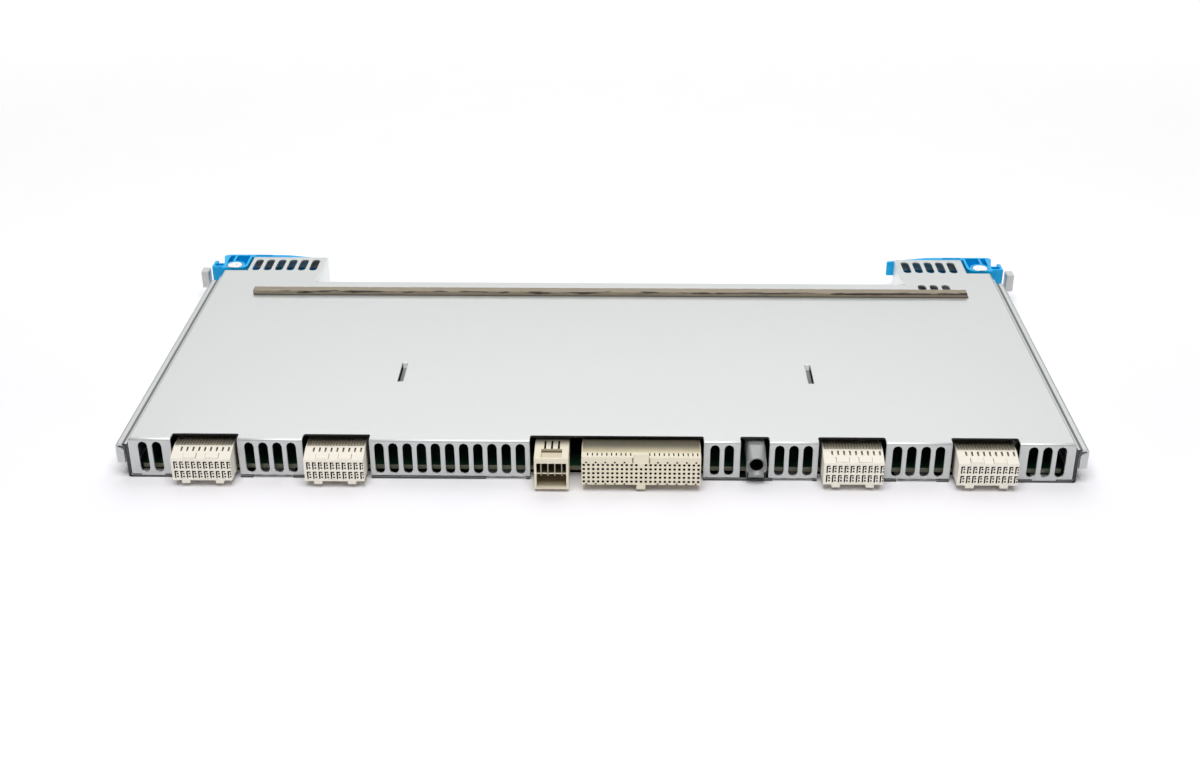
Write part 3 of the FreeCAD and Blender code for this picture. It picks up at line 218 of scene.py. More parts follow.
def new_group(name: str, inputs: dict[str, Kind], outputs: dict[str, Kind]) -> tuple[Graph, Sockets, Sockets]:
    """Start a shader node group with named sockets.

    Args:
        name: Name of the group.
        inputs: Input names with their kinds.
        outputs: Output names with their kinds.

    Returns:
        The group's graph, its input sockets and its output sockets, by name.
    """
    tree = bpy.data.node_groups.new(name, "ShaderNodeTree")
    for side, sockets in (("INPUT", inputs), ("OUTPUT", outputs)):
        for key, kind in sockets.items():
            tree.interface.new_socket(key, in_out=side, socket_type=kind.value)
    graph = Graph(tree)
    given = graph.add("NodeGroupInput").outputs
    made = graph.add("NodeGroupOutput").inputs
    return graph, {s.name: s for s in given if s.name}, {s.name: s for s in made if s.name}


def new_material(name: str) -> tuple[Material, Graph, Node]:
    """Start a material.

    Args:
        name: Its name.

    Returns:
        The material, its graph and its shader.
    """
    made = bpy.data.materials.new(name)
    made.use_nodes = True
    return made, Graph(made.node_tree), made.node_tree.nodes["Principled BSDF"]


def new_object(mesh: BMesh, name: str, materials: list[Material]) -> Object:
    """Turn a mesh into an object of the scene.

    Args:
        mesh: The finished mesh, in the part's frame.
        name: The object's name.
        materials: Its material slots in order.

    Returns:
        The new object.
    """
    data = bpy.data.meshes.new(name)
    mesh.to_mesh(data)
    mesh.free()
    for material in materials:
        data.materials.append(material)
    made = bpy.data.objects.new(name, data)
    bpy.context.collection.objects.link(made)
    return made


def squared(value: float, power: float) -> float:
    """Raise a cosine or sine to a power and keep its sign, which squares a circle."""
    return math.copysign(abs(value) ** power, value)


class Effects:
    """Shader groups that several finishes share.

    Shares of lines, crystals and clouds make up the sheet's tone, those of grain and flow the moulded skin's.
    A face takes a zone's painted shade or light when it looks the zone's way by more than the facing share.
    """

    VARIED = {"Color": Kind.COLOR, "Contrast": Kind.FLOAT, "Roughness": Kind.FLOAT}
    SKIN = {"Color": Kind.COLOR, "Roughness": Kind.FLOAT, "Height": Kind.FLOAT}
    TINT = {"Color": Kind.COLOR}
    LINES, CRYSTALS, CLOUDS = 0.5, 0.18, 0.6
    GRAIN, FLOW = 0.4, 0.6
    FACING_SHARE = 0.6
    FACING_SLACK = 0.001

    def __init__(self) -> None:
        """Build the groups."""
        self.sheet = self._rolled_sheet()
        self.moulded = self._moulded_skin()
        self.zone = self._zone_shade()
        self.fade = self._depth_fade()

    @staticmethod
    def _vary(graph: Graph, given: Sockets, made: Sockets, tone: NodeSocket, mean: float,
              gloss: float) -> None:
        """Let a tone that swings around its mean change a skin's colour and roughness.

        Args:
            graph: The group's graph.
            given: The group's inputs.
            made: The group's outputs.
            tone: The tone.
            mean: Its mean.
            gloss: Share of its swing that changes the roughness.
        """
        swing = graph.math("SUBTRACT", tone, mean)
        shade = graph.math("MULTIPLY_ADD", swing, given["Contrast"], 1.0)
        graph.join(graph.scaled(given["Color"], shade), made["Color"])
        graph.join(graph.math("MULTIPLY_ADD", swing, gloss, given["Roughness"]), made["Roughness"])

    def _rolled_sheet(self) -> NodeTree:
        """Zinc-coated sheet: faint crystals, rolling lines and hand marks.

        Returns:
            The group.
        """
        graph, given, made = new_group("rolled_sheet", self.VARIED, self.SKIN)
        place = graph.place()
        stretched = graph.add("ShaderNodeMapping", Vector=place, Scale=(6.0, 160.0, 160.0)).outputs[0]
        lines = graph.noise(stretched, Scale=14.0, Detail=5.0, Roughness=0.65)
        crystals = graph.add("ShaderNodeTexVoronoi", Vector=place, Scale=420.0, Randomness=1.0)
        crystal = graph.add("ShaderNodeSeparateColor", Color=crystals.outputs["Color"]).outputs[0]
        clouds = graph.noise(place, Scale=16.0, Detail=4.0, Roughness=0.6)
        tone = graph.math("MULTIPLY_ADD", crystal, self.CRYSTALS, graph.math("MULTIPLY", lines, self.LINES))
        tone = graph.math("MULTIPLY_ADD", clouds, self.CLOUDS, tone)
        self._vary(graph, given, made, tone, mean=0.64, gloss=0.22)
        graph.join(tone, made["Height"])
        return graph.tree

    def _moulded_skin(self) -> NodeTree:
        """Moulded or cast skin: fine spark texture, slow flow marks and a little shade change.

        Returns:
            The group.
        """
        graph, given, made = new_group("moulded_skin", {**self.VARIED, "Grain": Kind.FLOAT}, self.SKIN)
        place = graph.place()
        fine = graph.noise(place, Scale=given["Grain"], Detail=3.0, Roughness=0.6)
        flow = graph.noise(place, Scale=110.0, Detail=3.0, Distortion=0.8)
        tone = graph.math("MULTIPLY_ADD", fine, self.GRAIN, graph.math("MULTIPLY", flow, self.FLOW))
        self._vary(graph, given, made, tone, mean=0.5, gloss=0.3)
        graph.join(fine, made["Height"])
        return graph.tree

    def _zone_shade(self) -> NodeTree:
        """Painted shade or painted light in a box of distance from the middle, Y and Z, on faces that look
        one way.

        Returns:
            The group.
        """
        box = {"Low": Kind.VECTOR, "High": Kind.VECTOR, "Facing": Kind.VECTOR, "Shade": Kind.FLOAT}
        graph, given, made = new_group("zone_shade", {**self.TINT, **box}, self.TINT)
        place = graph.add("ShaderNodeTexCoord")
        axes = graph.split(place.outputs["Object"])
        axes[0] = graph.math("ABSOLUTE", axes[0])
        taken = given["Shade"]
        for value, low, high in zip(axes, graph.split(given["Low"]), graph.split(given["High"])):
            taken = graph.math("MULTIPLY", taken, graph.math("GREATER_THAN", value, low))
            taken = graph.math("MULTIPLY", taken, graph.math("LESS_THAN", value, high))
        towards = graph.measure("DOT_PRODUCT", place.outputs["Normal"], given["Facing"])
        length = graph.measure("LENGTH", given["Facing"])
        limit = graph.math("MULTIPLY_ADD", length, self.FACING_SHARE, -self.FACING_SLACK)
        taken = graph.math("MULTIPLY", taken, graph.math("GREATER_THAN", towards, limit))
        graph.join(graph.scaled(given["Color"], graph.math("SUBTRACT", 1.0, taken)), made["Color"])
        return graph.tree

    def _depth_fade(self) -> NodeTree:
        """Painted shade that darkens the skin along Y, from the open front into the case.

        Returns:
            The group.
        """
        ends = {"Start": Kind.FLOAT, "End": Kind.FLOAT, "Least": Kind.FLOAT}
        graph, given, made = new_group("depth_fade", {**self.TINT, **ends}, self.TINT)
        depth = graph.split(graph.place())[1]
        left = graph.ramp(depth, (given["Start"], given["End"]), (1.0, given["Least"]))
        graph.join(graph.scaled(given["Color"], left), made["Color"])
        return graph.tree


@dataclass(frozen=True)
class Zone:
    """A box of painted shade on a finish, or of painted light with a shade below 0.

    Attributes:
        low: Lowest distance from the middle plane, lowest Y and lowest Z in metres.
        high: The highest ones.
        shade: Share of the colour that is taken away.
        facing: The way the faces look, or zeros for all faces.
    """

    low: Triple
    high: Triple
    shade: float
    facing: Triple = (0.0, 0.0, 0.0)


@dataclass(frozen=True)
class Fade:
    """Painted shade along Y: where it starts and ends in metres and the share of the colour that is left."""

    start: float
    end: float
    least: float


@dataclass(frozen=True)
class Finish:
    """One surface finish of sheet, moulding or casting.

    Attributes:
        name: Name of the material.
        color: Linear base colour.
        roughness: Mean roughness.
        metallic: Metallic share.
        contrast: Strength of the shade change.
        bump: Height of the skin's relief in metres.
        grain: Scale of the moulded skin's fine texture, or None for rolled sheet.
        specular: Strength of the surface's shine.
        transmission: Share of light let through.
        relief: Strength of the relief.
        zones: Boxes of painted shade and painted light.
        fade: Painted shade that darkens the colour into the case, or None.
    """

    name: str
    color: Triple
    roughness: float
    metallic: float = 0.0
    contrast: float = 0.12
    bump: float = 0.00001
    grain: float | None = 2400.0
    specular: float = 0.5
    transmission: float = 0.0
    relief: float = 0.5
    zones: tuple[Zone, ...] = ()
    fade: Fade | None = None

    def material(self, effects: Effects) -> Material:
        """Build the material.

        Args:
            effects: The shared shader groups.

        Returns:
            The new material.
        """
        made, graph, shader = new_material(self.name)
        color, roughness, height = self.skin(graph, effects)
        relief = graph.add("ShaderNodeBump", Strength=self.relief, Distance=self.bump, Height=height)
        for name, value in (("Base Color", color), ("Roughness", roughness), ("Normal", relief.outputs[0]),
                            ("Metallic", self.metallic), ("Specular IOR Level", self.specular),
                            ("Transmission Weight", self.transmission)):
            graph.join(value, shader.inputs[name])
        return made

    def skin(self, graph: Graph, effects: Effects) -> tuple[NodeSocket, object, NodeSocket]:
        """Lay out what changes over the surface.

        Args:
            graph: The material's graph.
            effects: The shared shader groups.

        Returns:
            The colour, the roughness and the height of the relief.
        """
        group = effects.sheet if self.grain is None else effects.moulded
        base = graph.add("ShaderNodeGroup", node_tree=group, Color=(*self.color, 1.0), Contrast=self.contrast,
                         Roughness=self.roughness)
        if self.grain is not None:
            graph.join(self.grain, base.inputs["Grain"])
        color = base.outputs["Color"]
        for zone in self.zones:
            box = graph.add("ShaderNodeGroup", node_tree=effects.zone, Color=color, Low=zone.low,
                            High=zone.high, Facing=zone.facing, Shade=zone.shade)
            color = box.outputs["Color"]
        if self.fade:
            depth = graph.add("ShaderNodeGroup", node_tree=effects.fade, Color=color, Start=self.fade.start,
                              End=self.fade.end, Least=self.fade.least)
            color = depth.outputs["Color"]
        return color, base.outputs["Roughness"], base.outputs["Height"]


@dataclass(frozen=True)
class Fabric(Finish):
    """Metallised fabric: a fine weave on the strip's own UV map, with painted shade in creases along its
    front edge.

    Attributes:
        weave: Scale of the threads.
        ground: Share of the colour that streaks and threads add to.
        streak: Strength of the pale streaks.
        thread: Strength of the threads.
        gloss: How much the streaks change the roughness.
        slants: Turn and scale of the pale streaks and of the creases.
        edge: Where the front edge lies across the map in metres.
        edge_fall: How fast the creases end away from the edge, per metre.
        edge_pull: How much the edge adds to the creases.
        crease: Where the creases' painted shade starts and where it is deepest.
        deepest: Share of the colour that is left in the deepest crease.
    """

    weave: float = 900.0
    ground: float = 0.62
    streak: float = 0.7
    thread: float = 0.1
    gloss: float = 0.25
    slants: tuple[tuple[float, Triple], ...] = ((0.16, (60.0, 900.0, 1.0)), (0.14, (70.0, 460.0, 1.0)))
    edge: float = 0.0002
    edge_fall: float = 1100.0
    edge_pull: float = 0.16
    crease: tuple[float, float] = (0.56, 0.66)
    deepest: float = 0.16

    def skin(self, graph: Graph, effects: Effects) -> tuple[NodeSocket, object, NodeSocket]:
        """Lay out the weave, its streaks and the painted shade of its creases.

        Args:
            graph: The material's graph.
            effects: The shared shader groups.

        Returns:
            The colour, the roughness and the height of the relief.
        """
        place = graph.add("ShaderNodeUVMap", uv_map="weave").outputs[0]
        waves = [graph.add("ShaderNodeTexWave", bands_direction=way, Vector=place, Scale=self.weave,
                           Distortion=0.6).outputs["Fac"] for way in "XY"]
        threads = graph.math("MULTIPLY", *waves)
        streaks = []
        for turn, scale in self.slants:
            slanted = graph.add("ShaderNodeMapping", Vector=place, Rotation=(0.0, 0.0, turn), Scale=scale)
            streaks.append(graph.noise(slanted.outputs[0], Scale=1.0, Detail=3.0, Distortion=0.3))
        off_edge = graph.math("ABSOLUTE", graph.math("SUBTRACT", graph.split(place)[1], self.edge))
        at_edge = graph.math("MAXIMUM", graph.math("MULTIPLY_ADD", off_edge, -self.edge_fall, 1.0), -1.0)
        creased = graph.math("MULTIPLY_ADD", at_edge, self.edge_pull, streaks[1])
        # The creases darken the colour near the front edge: painted shade.
        crease = graph.ramp(creased, self.crease, (1.0, self.deepest), smooth=False)
        tone = graph.math("MULTIPLY_ADD", threads, self.thread, self.ground)
        tone = graph.math("MULTIPLY_ADD", streaks[0], self.streak, tone)
        tone = graph.math("MULTIPLY", tone, crease)
        roughness = graph.math("MULTIPLY_ADD", streaks[0], self.gloss, self.roughness)
        return graph.scaled(self.color, tone), roughness, tone


@dataclass(frozen=True)
class Laminate(Finish):
    """Green board: copper runs under the mask on its faces, bare laminate along its edges.

    Attributes:
        shifted: The mask's other shade.
        copper: The mask's colour over a copper run.
        edges: The darkest and the palest colour of the edges.
    """

    shifted: Triple = (0.004, 0.028, 0.013)
    copper: Triple = (0.008, 0.045, 0.020)
    edges: tuple[Triple, Triple] = ((0.085, 0.088, 0.055), (0.165, 0.170, 0.115))

    def skin(self, graph: Graph, effects: Effects) -> tuple[NodeSocket, object, NodeSocket]:
        """Lay out the copper runs and the edges.

        Args:
            graph: The material's graph.
            effects: The shared shader groups.

        Returns:
            The colour, the roughness and the height of the relief.
        """
        place = graph.add("ShaderNodeTexCoord")
        runs = graph.add("ShaderNodeTexBrick", Vector=place.outputs["Object"], Scale=160.0, Mortar_Size=0.012,
                         Bias=0.0, Color1=(*self.color, 1.0), Color2=(*self.shifted, 1.0),
                         Mortar=(*self.copper, 1.0))
        upright = graph.math("ABSOLUTE", graph.split(place.outputs["Normal"])[2])
        glass = graph.noise(place.outputs["Object"], Scale=900.0, Detail=2.0)
        mix = graph.add("ShaderNodeMix", data_type="RGBA")
        # A Mix node's colour sockets come after those for numbers and vectors.
        share, edge, face = (mix.inputs[i] for i in (0, 6, 7))
        graph.join(graph.math("GREATER_THAN", upright, 0.5), share)
        graph.join(graph.blend(glass, *self.edges), edge)
        graph.join(runs.outputs["Color"], face)
        return mix.outputs[2], self.roughness, runs.outputs["Fac"]


class Finishes:
    """Every material of the part, by use."""

    FRONT = (0.0, -1.0, 0.0)
    UP = (0.0, 0.0, 1.0)
    # Painted shade: the cover's cut edges that face the front, over the connectors, are made nearly black.
    CUT_EDGE_SHADE = Zone((0.0, -0.0925, 0.0172), (0.21, -0.0905, 0.0189), 0.95, FRONT)
    # Painted highlight: upward faces at the bottom of the lip's slots are made lighter.
    SILL_HIGHLIGHT = Zone((0.0, -0.0965, 0.001), (0.2, -0.0950, 0.0065), -0.6, UP)
    # Painted shade on the lanced tabs' flats, painted light on the front faces at their roots.
    TAB_FLAT_SHADE = Zone((0.0895, -0.042, 0.0145), (0.0965, -0.022, 0.0178), 0.75, UP)
    TAB_ROOT_LIGHT = Zone((0.0895, -0.030, 0.0145), (0.0965, -0.022, 0.0187), -0.5, FRONT)
    # Painted light: the ears' inner walls and bends are made lighter, standing in for a bright reflection.
    LEFT_EAR_WALL_LIGHT = Zone((0.1470, 0.0690, 0.001), (0.1497, 0.1035, 0.0189), -0.5, (1.0, 0.0, 0.55))
    RIGHT_EAR_WALL_LIGHT = Zone((0.1515, 0.0690, 0.001), (0.1540, 0.1035, 0.0189), -0.5, (-1.0, 0.0, 0.55))
    # Painted shade: a dark line along the tray's rails next to the cover's edge.
    SEAM = Zone((0.2019, -1.0, 0.0155), (0.2031, 1.0, 1.0), 0.75)
    # Painted shade: the tray's floor inside the case is made dark.
    INNER_FLOOR_SHADE = Zone((0.0, -0.0951, 0.0005), (0.2008, 0.0700, 0.0012), 0.93, UP)
    # Painted shade: the tray's front edges under the lip are made dark.
    FLOOR_EDGE_SHADE = Zone((0.0, -0.0975, -0.001), (0.2030, -0.0950, 0.0013), 0.85, FRONT)
    WALL_EDGE_SHADE = Zone((0.2003, -0.0975, -0.001), (0.2026, -0.0950, 0.0190), 0.92, FRONT)
    # Painted shade: the levers' upward faces under the cover's ears are made darker.
    UNDER_EAR_SHADE = Zone((0.149, 0.080, 0.0), (0.189, 0.1025, 0.0178), 0.55, UP)
    # Painted shade: upward faces of the mouldings are made darker than their fronts.
    RAMP = Zone((0.0, -1.0, -1.0), (1.0, 1.0, 1.0), 0.14, UP)
    # Painted shade under the cover's edge: the mouldings darken along Y into the case.
    MOUTH_SHADE = Fade(-0.0985, -0.0920, 0.12)
    BOX_SHADE = Fade(-0.0975, -0.0905, 0.22)
    WAFER_SHADE = Fade(-0.1035, -0.0945, 0.15)
    STRIP_SHADE = Fade(-0.0975, -0.0915, 0.28)

    COVER = Finish("zinc_cover", (0.60, 0.615, 0.61), 0.42, 0.6, 0.10, 0.000006, None,
                   zones=(CUT_EDGE_SHADE, SILL_HIGHLIGHT, TAB_FLAT_SHADE, TAB_ROOT_LIGHT, LEFT_EAR_WALL_LIGHT, RIGHT_EAR_WALL_LIGHT))
    TRAY = Finish("zinc_tray", (0.56, 0.575, 0.575), 0.40, 0.65, 0.16, 0.000006, None,
                  zones=(SEAM, INNER_FLOOR_SHADE, FLOOR_EDGE_SHADE, WALL_EDGE_SHADE))
    PALE = Finish("pale_moulding", (0.92, 0.87, 0.762), 0.5, contrast=0.10, bump=0.000008, zones=(RAMP,),
                  fade=MOUTH_SHADE)
    CREAM = Finish("cream_moulding", (0.84, 0.775, 0.61), 0.5, contrast=0.10, bump=0.000008, zones=(RAMP,),
                   fade=MOUTH_SHADE)
    # The cream moulding of the power connector, with a lighter painted shade under the cover.
    BOX = Finish("power_moulding", (0.84, 0.775, 0.61), 0.5, contrast=0.10, bump=0.000008, zones=(RAMP,),
                 fade=BOX_SHADE)
    WAFER = Finish("wafer_moulding", (0.70, 0.62, 0.41), 0.6, contrast=0.6, bump=0.00004, grain=1300.0,
                   fade=WAFER_SHADE)
    STRIP = Finish("wafer_strip", (0.62, 0.55, 0.42), 0.65, contrast=1.2, bump=0.00008, grain=1900.0,
                   fade=STRIP_SHADE)
    # A darker copy of the cream moulding: painted shade in recesses, grooves, slots and the lower mouth.
    SHADED = Finish("shaded_moulding", (0.42, 0.35, 0.24), 0.55)
    # A darker copy of the cream moulding: painted shade on the power connector's pocket floor.
    POCKET_SHADE = Finish("pocket_moulding", (0.60, 0.53, 0.38), 0.55)
    # Dark olive: painted shade deep in the power connector's mouth and in its trench.
    OLIVE_SHADE = Finish("olive_mouth_shade", (0.12, 0.095, 0.045), 0.6, contrast=0.3)
    # Near black: painted shade inside openings, slits, ticks and the guide's bore.
    CAVITY_SHADE = Finish("contact_cavity_shade", (0.012, 0.010, 0.006), 0.8, contrast=0.3, specular=0.0)
    CONTACT = Finish("plated_contact", (0.42, 0.39, 0.33), 0.4, 0.7)
    CASTING = Finish("die_casting", (0.31, 0.325, 0.32), 0.46, 0.35, 0.7, 0.00003, 900.0)
    BLUE = Finish("blue_moulding", (0.0, 0.42, 0.84), 0.35, contrast=0.08, bump=0.000006, grain=1800.0,
                  specular=0.3, zones=(UNDER_EAR_SHADE,))
    BRIGHT = Finish("bright_rivet", (0.88, 0.88, 0.87), 0.4, 0.4, 0.08, 0.000005)
    BLACK = Finish("black_package", (0.02, 0.02, 0.022), 0.5, contrast=0.3)
    PAD = Finish("thermal_pad", (0.38, 0.4, 0.44), 0.75, contrast=0.2, bump=0.00004)
    ALUMINIUM = Finish("extruded_aluminium", (0.66, 0.66, 0.68), 0.36, 0.9, grain=900.0)
    NYLON = Finish("natural_nylon", (0.74, 0.73, 0.68), 0.5, contrast=0.1)
    CLEAR = Finish("clear_pipe", (0.86, 0.9, 0.9), 0.12, contrast=0.05, transmission=0.6)
    TAPE = Finish("adhesive_tape", (0.05, 0.045, 0.035), 0.6, contrast=0.25)
    FABRIC = Fabric("gasket_fabric", (0.285, 0.24, 0.175), 0.45, 0.15, bump=0.0001)
    BOARD = Laminate("solder_mask", (0.003, 0.022, 0.010), 0.35, bump=0.00004, relief=0.4)

    def __init__(self, effects: Effects) -> None:
        """Hold the shared shader groups and start without materials."""
        self.effects = effects
        self._made: dict[str, Material] = {}

    def get(self, finish: Finish) -> Material:
        """The material of a finish, built at its first use.

        Args:
            finish: The finish.

        Returns:
            Its material.
        """
        if finish.name not in self._made:
            self._made[finish.name] = finish.material(self.effects)
        return self._made[finish.name]


@dataclass
class CadPiece:
    """A CAD node shown with its own solid, its edges broken by a small bevel. Its angles are in degrees.

    Attributes:
        node: Name of the node.
        finish: Its finish.
        bevel: Width of the broken edge in millimetres, or 0 for sharp edges.
    """

    FLAT_ANGLE = 1.0
    SHARP_ANGLE = 38.0
    node: str
    finish: Finish
    bevel: float = 0.0

    def dress(self, frame: dict, finishes: Finishes) -> None:
        """Give the node its material and edges.

        Args:
            finishes: The part's materials.
        """
        shown = frame["nodes"][self.node]
        shown.data.materials.clear()
        shown.data.materials.append(finishes.get(self.finish))
        if self.bevel:
            self.break_edges(shown)
        LOG.info("dressed %s", self.node)

    def break_edges(self, shown: Object) -> None:
        """Merge the node's loose triangles into flats and bevel the sharp edges between them.

        Args:
            shown: The node's object.
        """
        weld = shown.modifiers.new("weld", "WELD")
        weld.merge_threshold = WELD_GAP
        flats = shown.modifiers.new("flats", "DECIMATE")
        flats.decimate_type = "DISSOLVE"
        flats.angle_limit = math.radians(self.FLAT_ANGLE)
        edge = shown.modifiers.new("broken_edges", "BEVEL")
        edge.width = self.bevel * MM
        edge.segments = BEVEL_STEPS
        edge.limit_method = "ANGLE"
        edge.angle_limit = math.radians(self.SHARP_ANGLE)
        edge.use_clamp_overlap = False


@dataclass(frozen=True)
class Plate:
    """A flat face of a piece that openings are pressed into.

    A mesh's face lies in it when the cosine between both normals is over FLAT and their distance under NEAR.

    Attributes:
        origin: A point of the face with X = 0.
        normal: The way it faces; its own directions are X and the one that follows from both.
    """

    FLAT = 0.999
    NEAR = 0.01 * MM
    origin: Vector
    normal: Vector

    @property
    def along(self) -> Vector:
        """Direction in the face at right angles to X."""
        return self.normal.cross(Vector((1, 0, 0)))

    @classmethod
    def front(cls, y: float) -> Plate:
        """Upright face towards the backplane, measured in X and Z."""
        return cls(Vector((0, y, 0)), Vector((0, -1, 0)))

    @classmethod
    def top(cls, z: float) -> Plate:
        """Level face on top, measured in X and Y."""
        return cls(Vector((0, 0, z)), Vector((0, 0, 1)))

    def faces(self, mesh: BMesh) -> list[BMFace]:
        """Faces of a mesh that lie in this plate."""
        return [f for f in mesh.faces if f.normal.dot(self.normal) > self.FLAT
                and abs((f.calc_center_median() - self.origin).dot(self.normal)) < self.NEAR]


@dataclass
class Piece:
    """A piece modelled in finer form in the box of its CAD node. Its sizes are in millimetres.

    Attributes:
        node: The CAD node that it stands for.
        ease: Width of its broken edges.
    """

    NAME = "{}_moulding"
    FINISHES = ()
    node: str
    ease: float = 0.2

    def __post_init__(self) -> None:
        """Start an empty mesh in the node's box."""
        self.low, self.high = (Vector(v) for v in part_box(self.node))
        self.middle = (self.low.x + self.high.x) / 2
        self.mesh = bmesh.new()

    def build(self, finishes: Finishes) -> Object:
        """Model the piece, dress it in the part's materials and return it."""
        self.model()
        return new_object(self.mesh, self.NAME.format(self.node), [finishes.get(f) for f in self.FINISHES])

    def model(self) -> None:
        """Shape the mesh, which every kind of piece does in its own way."""
        raise NotImplementedError

    def break_edges(self, edges: set[BMEdge]) -> None:
        """Bevel edges of the mesh."""
        bmesh.ops.bevel(self.mesh, geom=list(edges), offset=self.ease * MM, segments=BEVEL_STEPS,
                        profile=0.5, affect="EDGES", material=-1)

    def profile(self, points: list[tuple[float, float]], x0: float, x1: float) -> None:
        """Add a side profile extruded along X, its edges broken.

        Args:
            points: The profile's (y, z) corners in metres.
            x0: Left end in metres.
            x1: Right end in metres.
        """
        start = self.mesh.faces.new([self.mesh.verts.new((x0, y, z)) for y, z in points])
        grown = bmesh.ops.extrude_face_region(self.mesh, geom=[start])["geom"]
        moved = [v for v in grown if isinstance(v, BMVert)]
        bmesh.ops.translate(self.mesh, verts=moved, vec=(x1 - x0, 0, 0))
        faces = {f for v in (*start.verts, *moved) for f in v.link_faces}
        bmesh.ops.recalc_face_normals(self.mesh, faces=list(faces))
        self.break_edges({e for f in faces for e in f.edges})

    def block(self, low: Vector, high: Vector, finish: Finish) -> None:
        """Add a block with broken edges.

        Args:
            low: Lowest corner in metres.
            high: Highest corner in metres.
            finish: Its finish.
        """
        corners = bmesh.ops.create_cube(self.mesh, size=1.0)["verts"]
        bmesh.ops.scale(self.mesh, verts=corners, vec=high - low)
        bmesh.ops.translate(self.mesh, verts=corners, vec=(low + high) / 2)
        self.paint({f for v in corners for f in v.link_faces}, finish)
        self.break_edges({e for v in corners for e in v.link_edges})

    def paint(self, faces: set[BMFace], finish: Finish) -> None:
        """Give faces one of the piece's finishes."""
        for face in faces:
            face.material_index = self.FINISHES.index(finish)

    def press(self, plate: Plate, openings: list[Rect], depth: float, finish: Finish) -> None:
        """Press rectangular openings into a flat face; openings that touch become one.

        Args:
            plate: Which face.
            openings: Rectangles (low, high, low, high) along the plate's two directions in metres.
            depth: How deep they go; a negative depth raises pads.
            finish: Finish of the openings' walls and floors.
        """
        across = Vector((1, 0, 0))
        for way, ends in ((across, slice(0, 2)), (plate.along, slice(2, 4))):
            for value in sorted({round(v, CUT_DIGITS) for r in openings for v in r[ends]}):
                parts = {g for f in plate.faces(self.mesh) for g in (f, *f.edges, *f.verts)}
                bmesh.ops.bisect_plane(self.mesh, geom=list(parts), dist=10 ** -CUT_DIGITS,
                                       plane_co=plate.origin + way * value, plane_no=way)
        inside = []
        for face in plate.faces(self.mesh):
            centre = face.calc_center_median() - plate.origin
            u, v = centre.dot(across), centre.dot(plate.along)
            if any(r[0] < u < r[1] and r[2] < v < r[3] for r in openings):
                inside.append(face)
        grown = bmesh.ops.extrude_face_region(self.mesh, geom=inside)["geom"]
        bmesh.ops.delete(self.mesh, geom=[f for f in inside if f.is_valid], context="FACES_ONLY")
        moved = [v for v in grown if isinstance(v, BMVert)]
        bmesh.ops.translate(self.mesh, verts=moved, vec=plate.normal * -depth * MM)
        self.paint({f for v in moved for f in v.link_faces}, finish)

    def grow(self, edges: list[BMEdge]) -> tuple[set[BMVert], list[BMEdge], set[BMFace]]:
        """Extrude a loop of edges, for the caller to move.

        Args:
            edges: The loop.

        Returns:
            The new vertices, the new loop and the faces between both loops.
        """
        grown = bmesh.ops.extrude_edge_only(self.mesh, edges=edges)["geom"]
        verts = {g for g in grown if isinstance(g, BMVert)}
        loop = [g for g in grown if isinstance(g, BMEdge) and verts.issuperset(g.verts)]
        return verts, loop, {g for g in grown if isinstance(g, BMFace)}

    @staticmethod
    def square(x: float, z: float, size: float) -> Rect:
        """Square around a place in metres, with its side in millimetres."""
        half = size * MM / 2
        return x - half, x + half, z - half, z + half

    @staticmethod
    def row(centres: list[float], width: float, start: float, end: float) -> list[Rect]:
        """Rectangles along X, by their middles and both ends in metres and their width in millimetres."""
        half = width * MM / 2
        return [(x - half, x + half, start, end) for x in centres]


@dataclass
class Receptacle(Piece):
    """A board connector on feet, with sunk wafers and gaps between them behind its front.

    The sizes are those of the signal connectors, and another kind sets its own.
    """

    BODY = Finishes.PALE
    WAFERS = Finishes.STRIP
    columns: int = 10
    pitch: float = 2.5
    foot_drop: float = 1.4
    foot_width: float = 3.5
    foot_depth: float = 4.05
    drop: float = 2.0
    step_back: float = 10.8
    wafer_fall: float = 0.9
    wafer_rim: float = 0.5
    wafer_front: float = 0.3
    wafer_back: float = 0.8
    gap_width: float = 0.3
    gap_front: float = 0.8
    gap_depth: float = 0.5

    @property
    def bottom(self) -> float:
        """Lower edge of the mating face."""
        return self.low.z + self.foot_drop * MM

    def stepped(self, front: list[tuple[float, float]]) -> None:
        """Add the body's profile, which steps up behind its front to clear the board.

        Args:
            front: The front's (y, z) corners in metres, from below to above.
        """
        board = self.bottom + self.drop * MM
        step = self.low.y + self.step_back * MM
        behind = [(self.high.y, self.high.z), (self.high.y, board), (step, board), (step, self.bottom)]
        self.profile(front + behind, self.low.x, self.high.x)

    def wafers(self, front: float, lines: list[float], gap_end: float) -> None:
        """Sink the wafers behind the front and part them by gaps.

        Args:
            front: Where the front ends in Y.
            lines: The gaps' middles in X.
            gap_end: Where the gaps end in Y.
        """
        rim = self.wafer_rim * MM
        sunk = (self.low.x + rim, self.high.x - rim, front + self.wafer_front * MM,
                self.high.y - self.wafer_back * MM)
        self.press(Plate.top(self.high.z), [sunk], self.wafer_fall, self.WAFERS)
        gaps = self.row(lines, self.gap_width, front + self.gap_front * MM, gap_end)
        self.press(Plate.top(self.high.z - self.wafer_fall * MM), gaps, self.gap_depth, self.WAFERS)

    def foot(self, x: float) -> None:
        """Add a foot under the front.

        Args:
            x: Its middle in X.
        """
        half = self.foot_width * MM / 2
        back = self.low.y + self.foot_depth * MM
        self.block(Vector((x - half, self.low.y, self.low.z)),
                   Vector((x + half, back, self.bottom + self.ease * MM)), self.BODY)


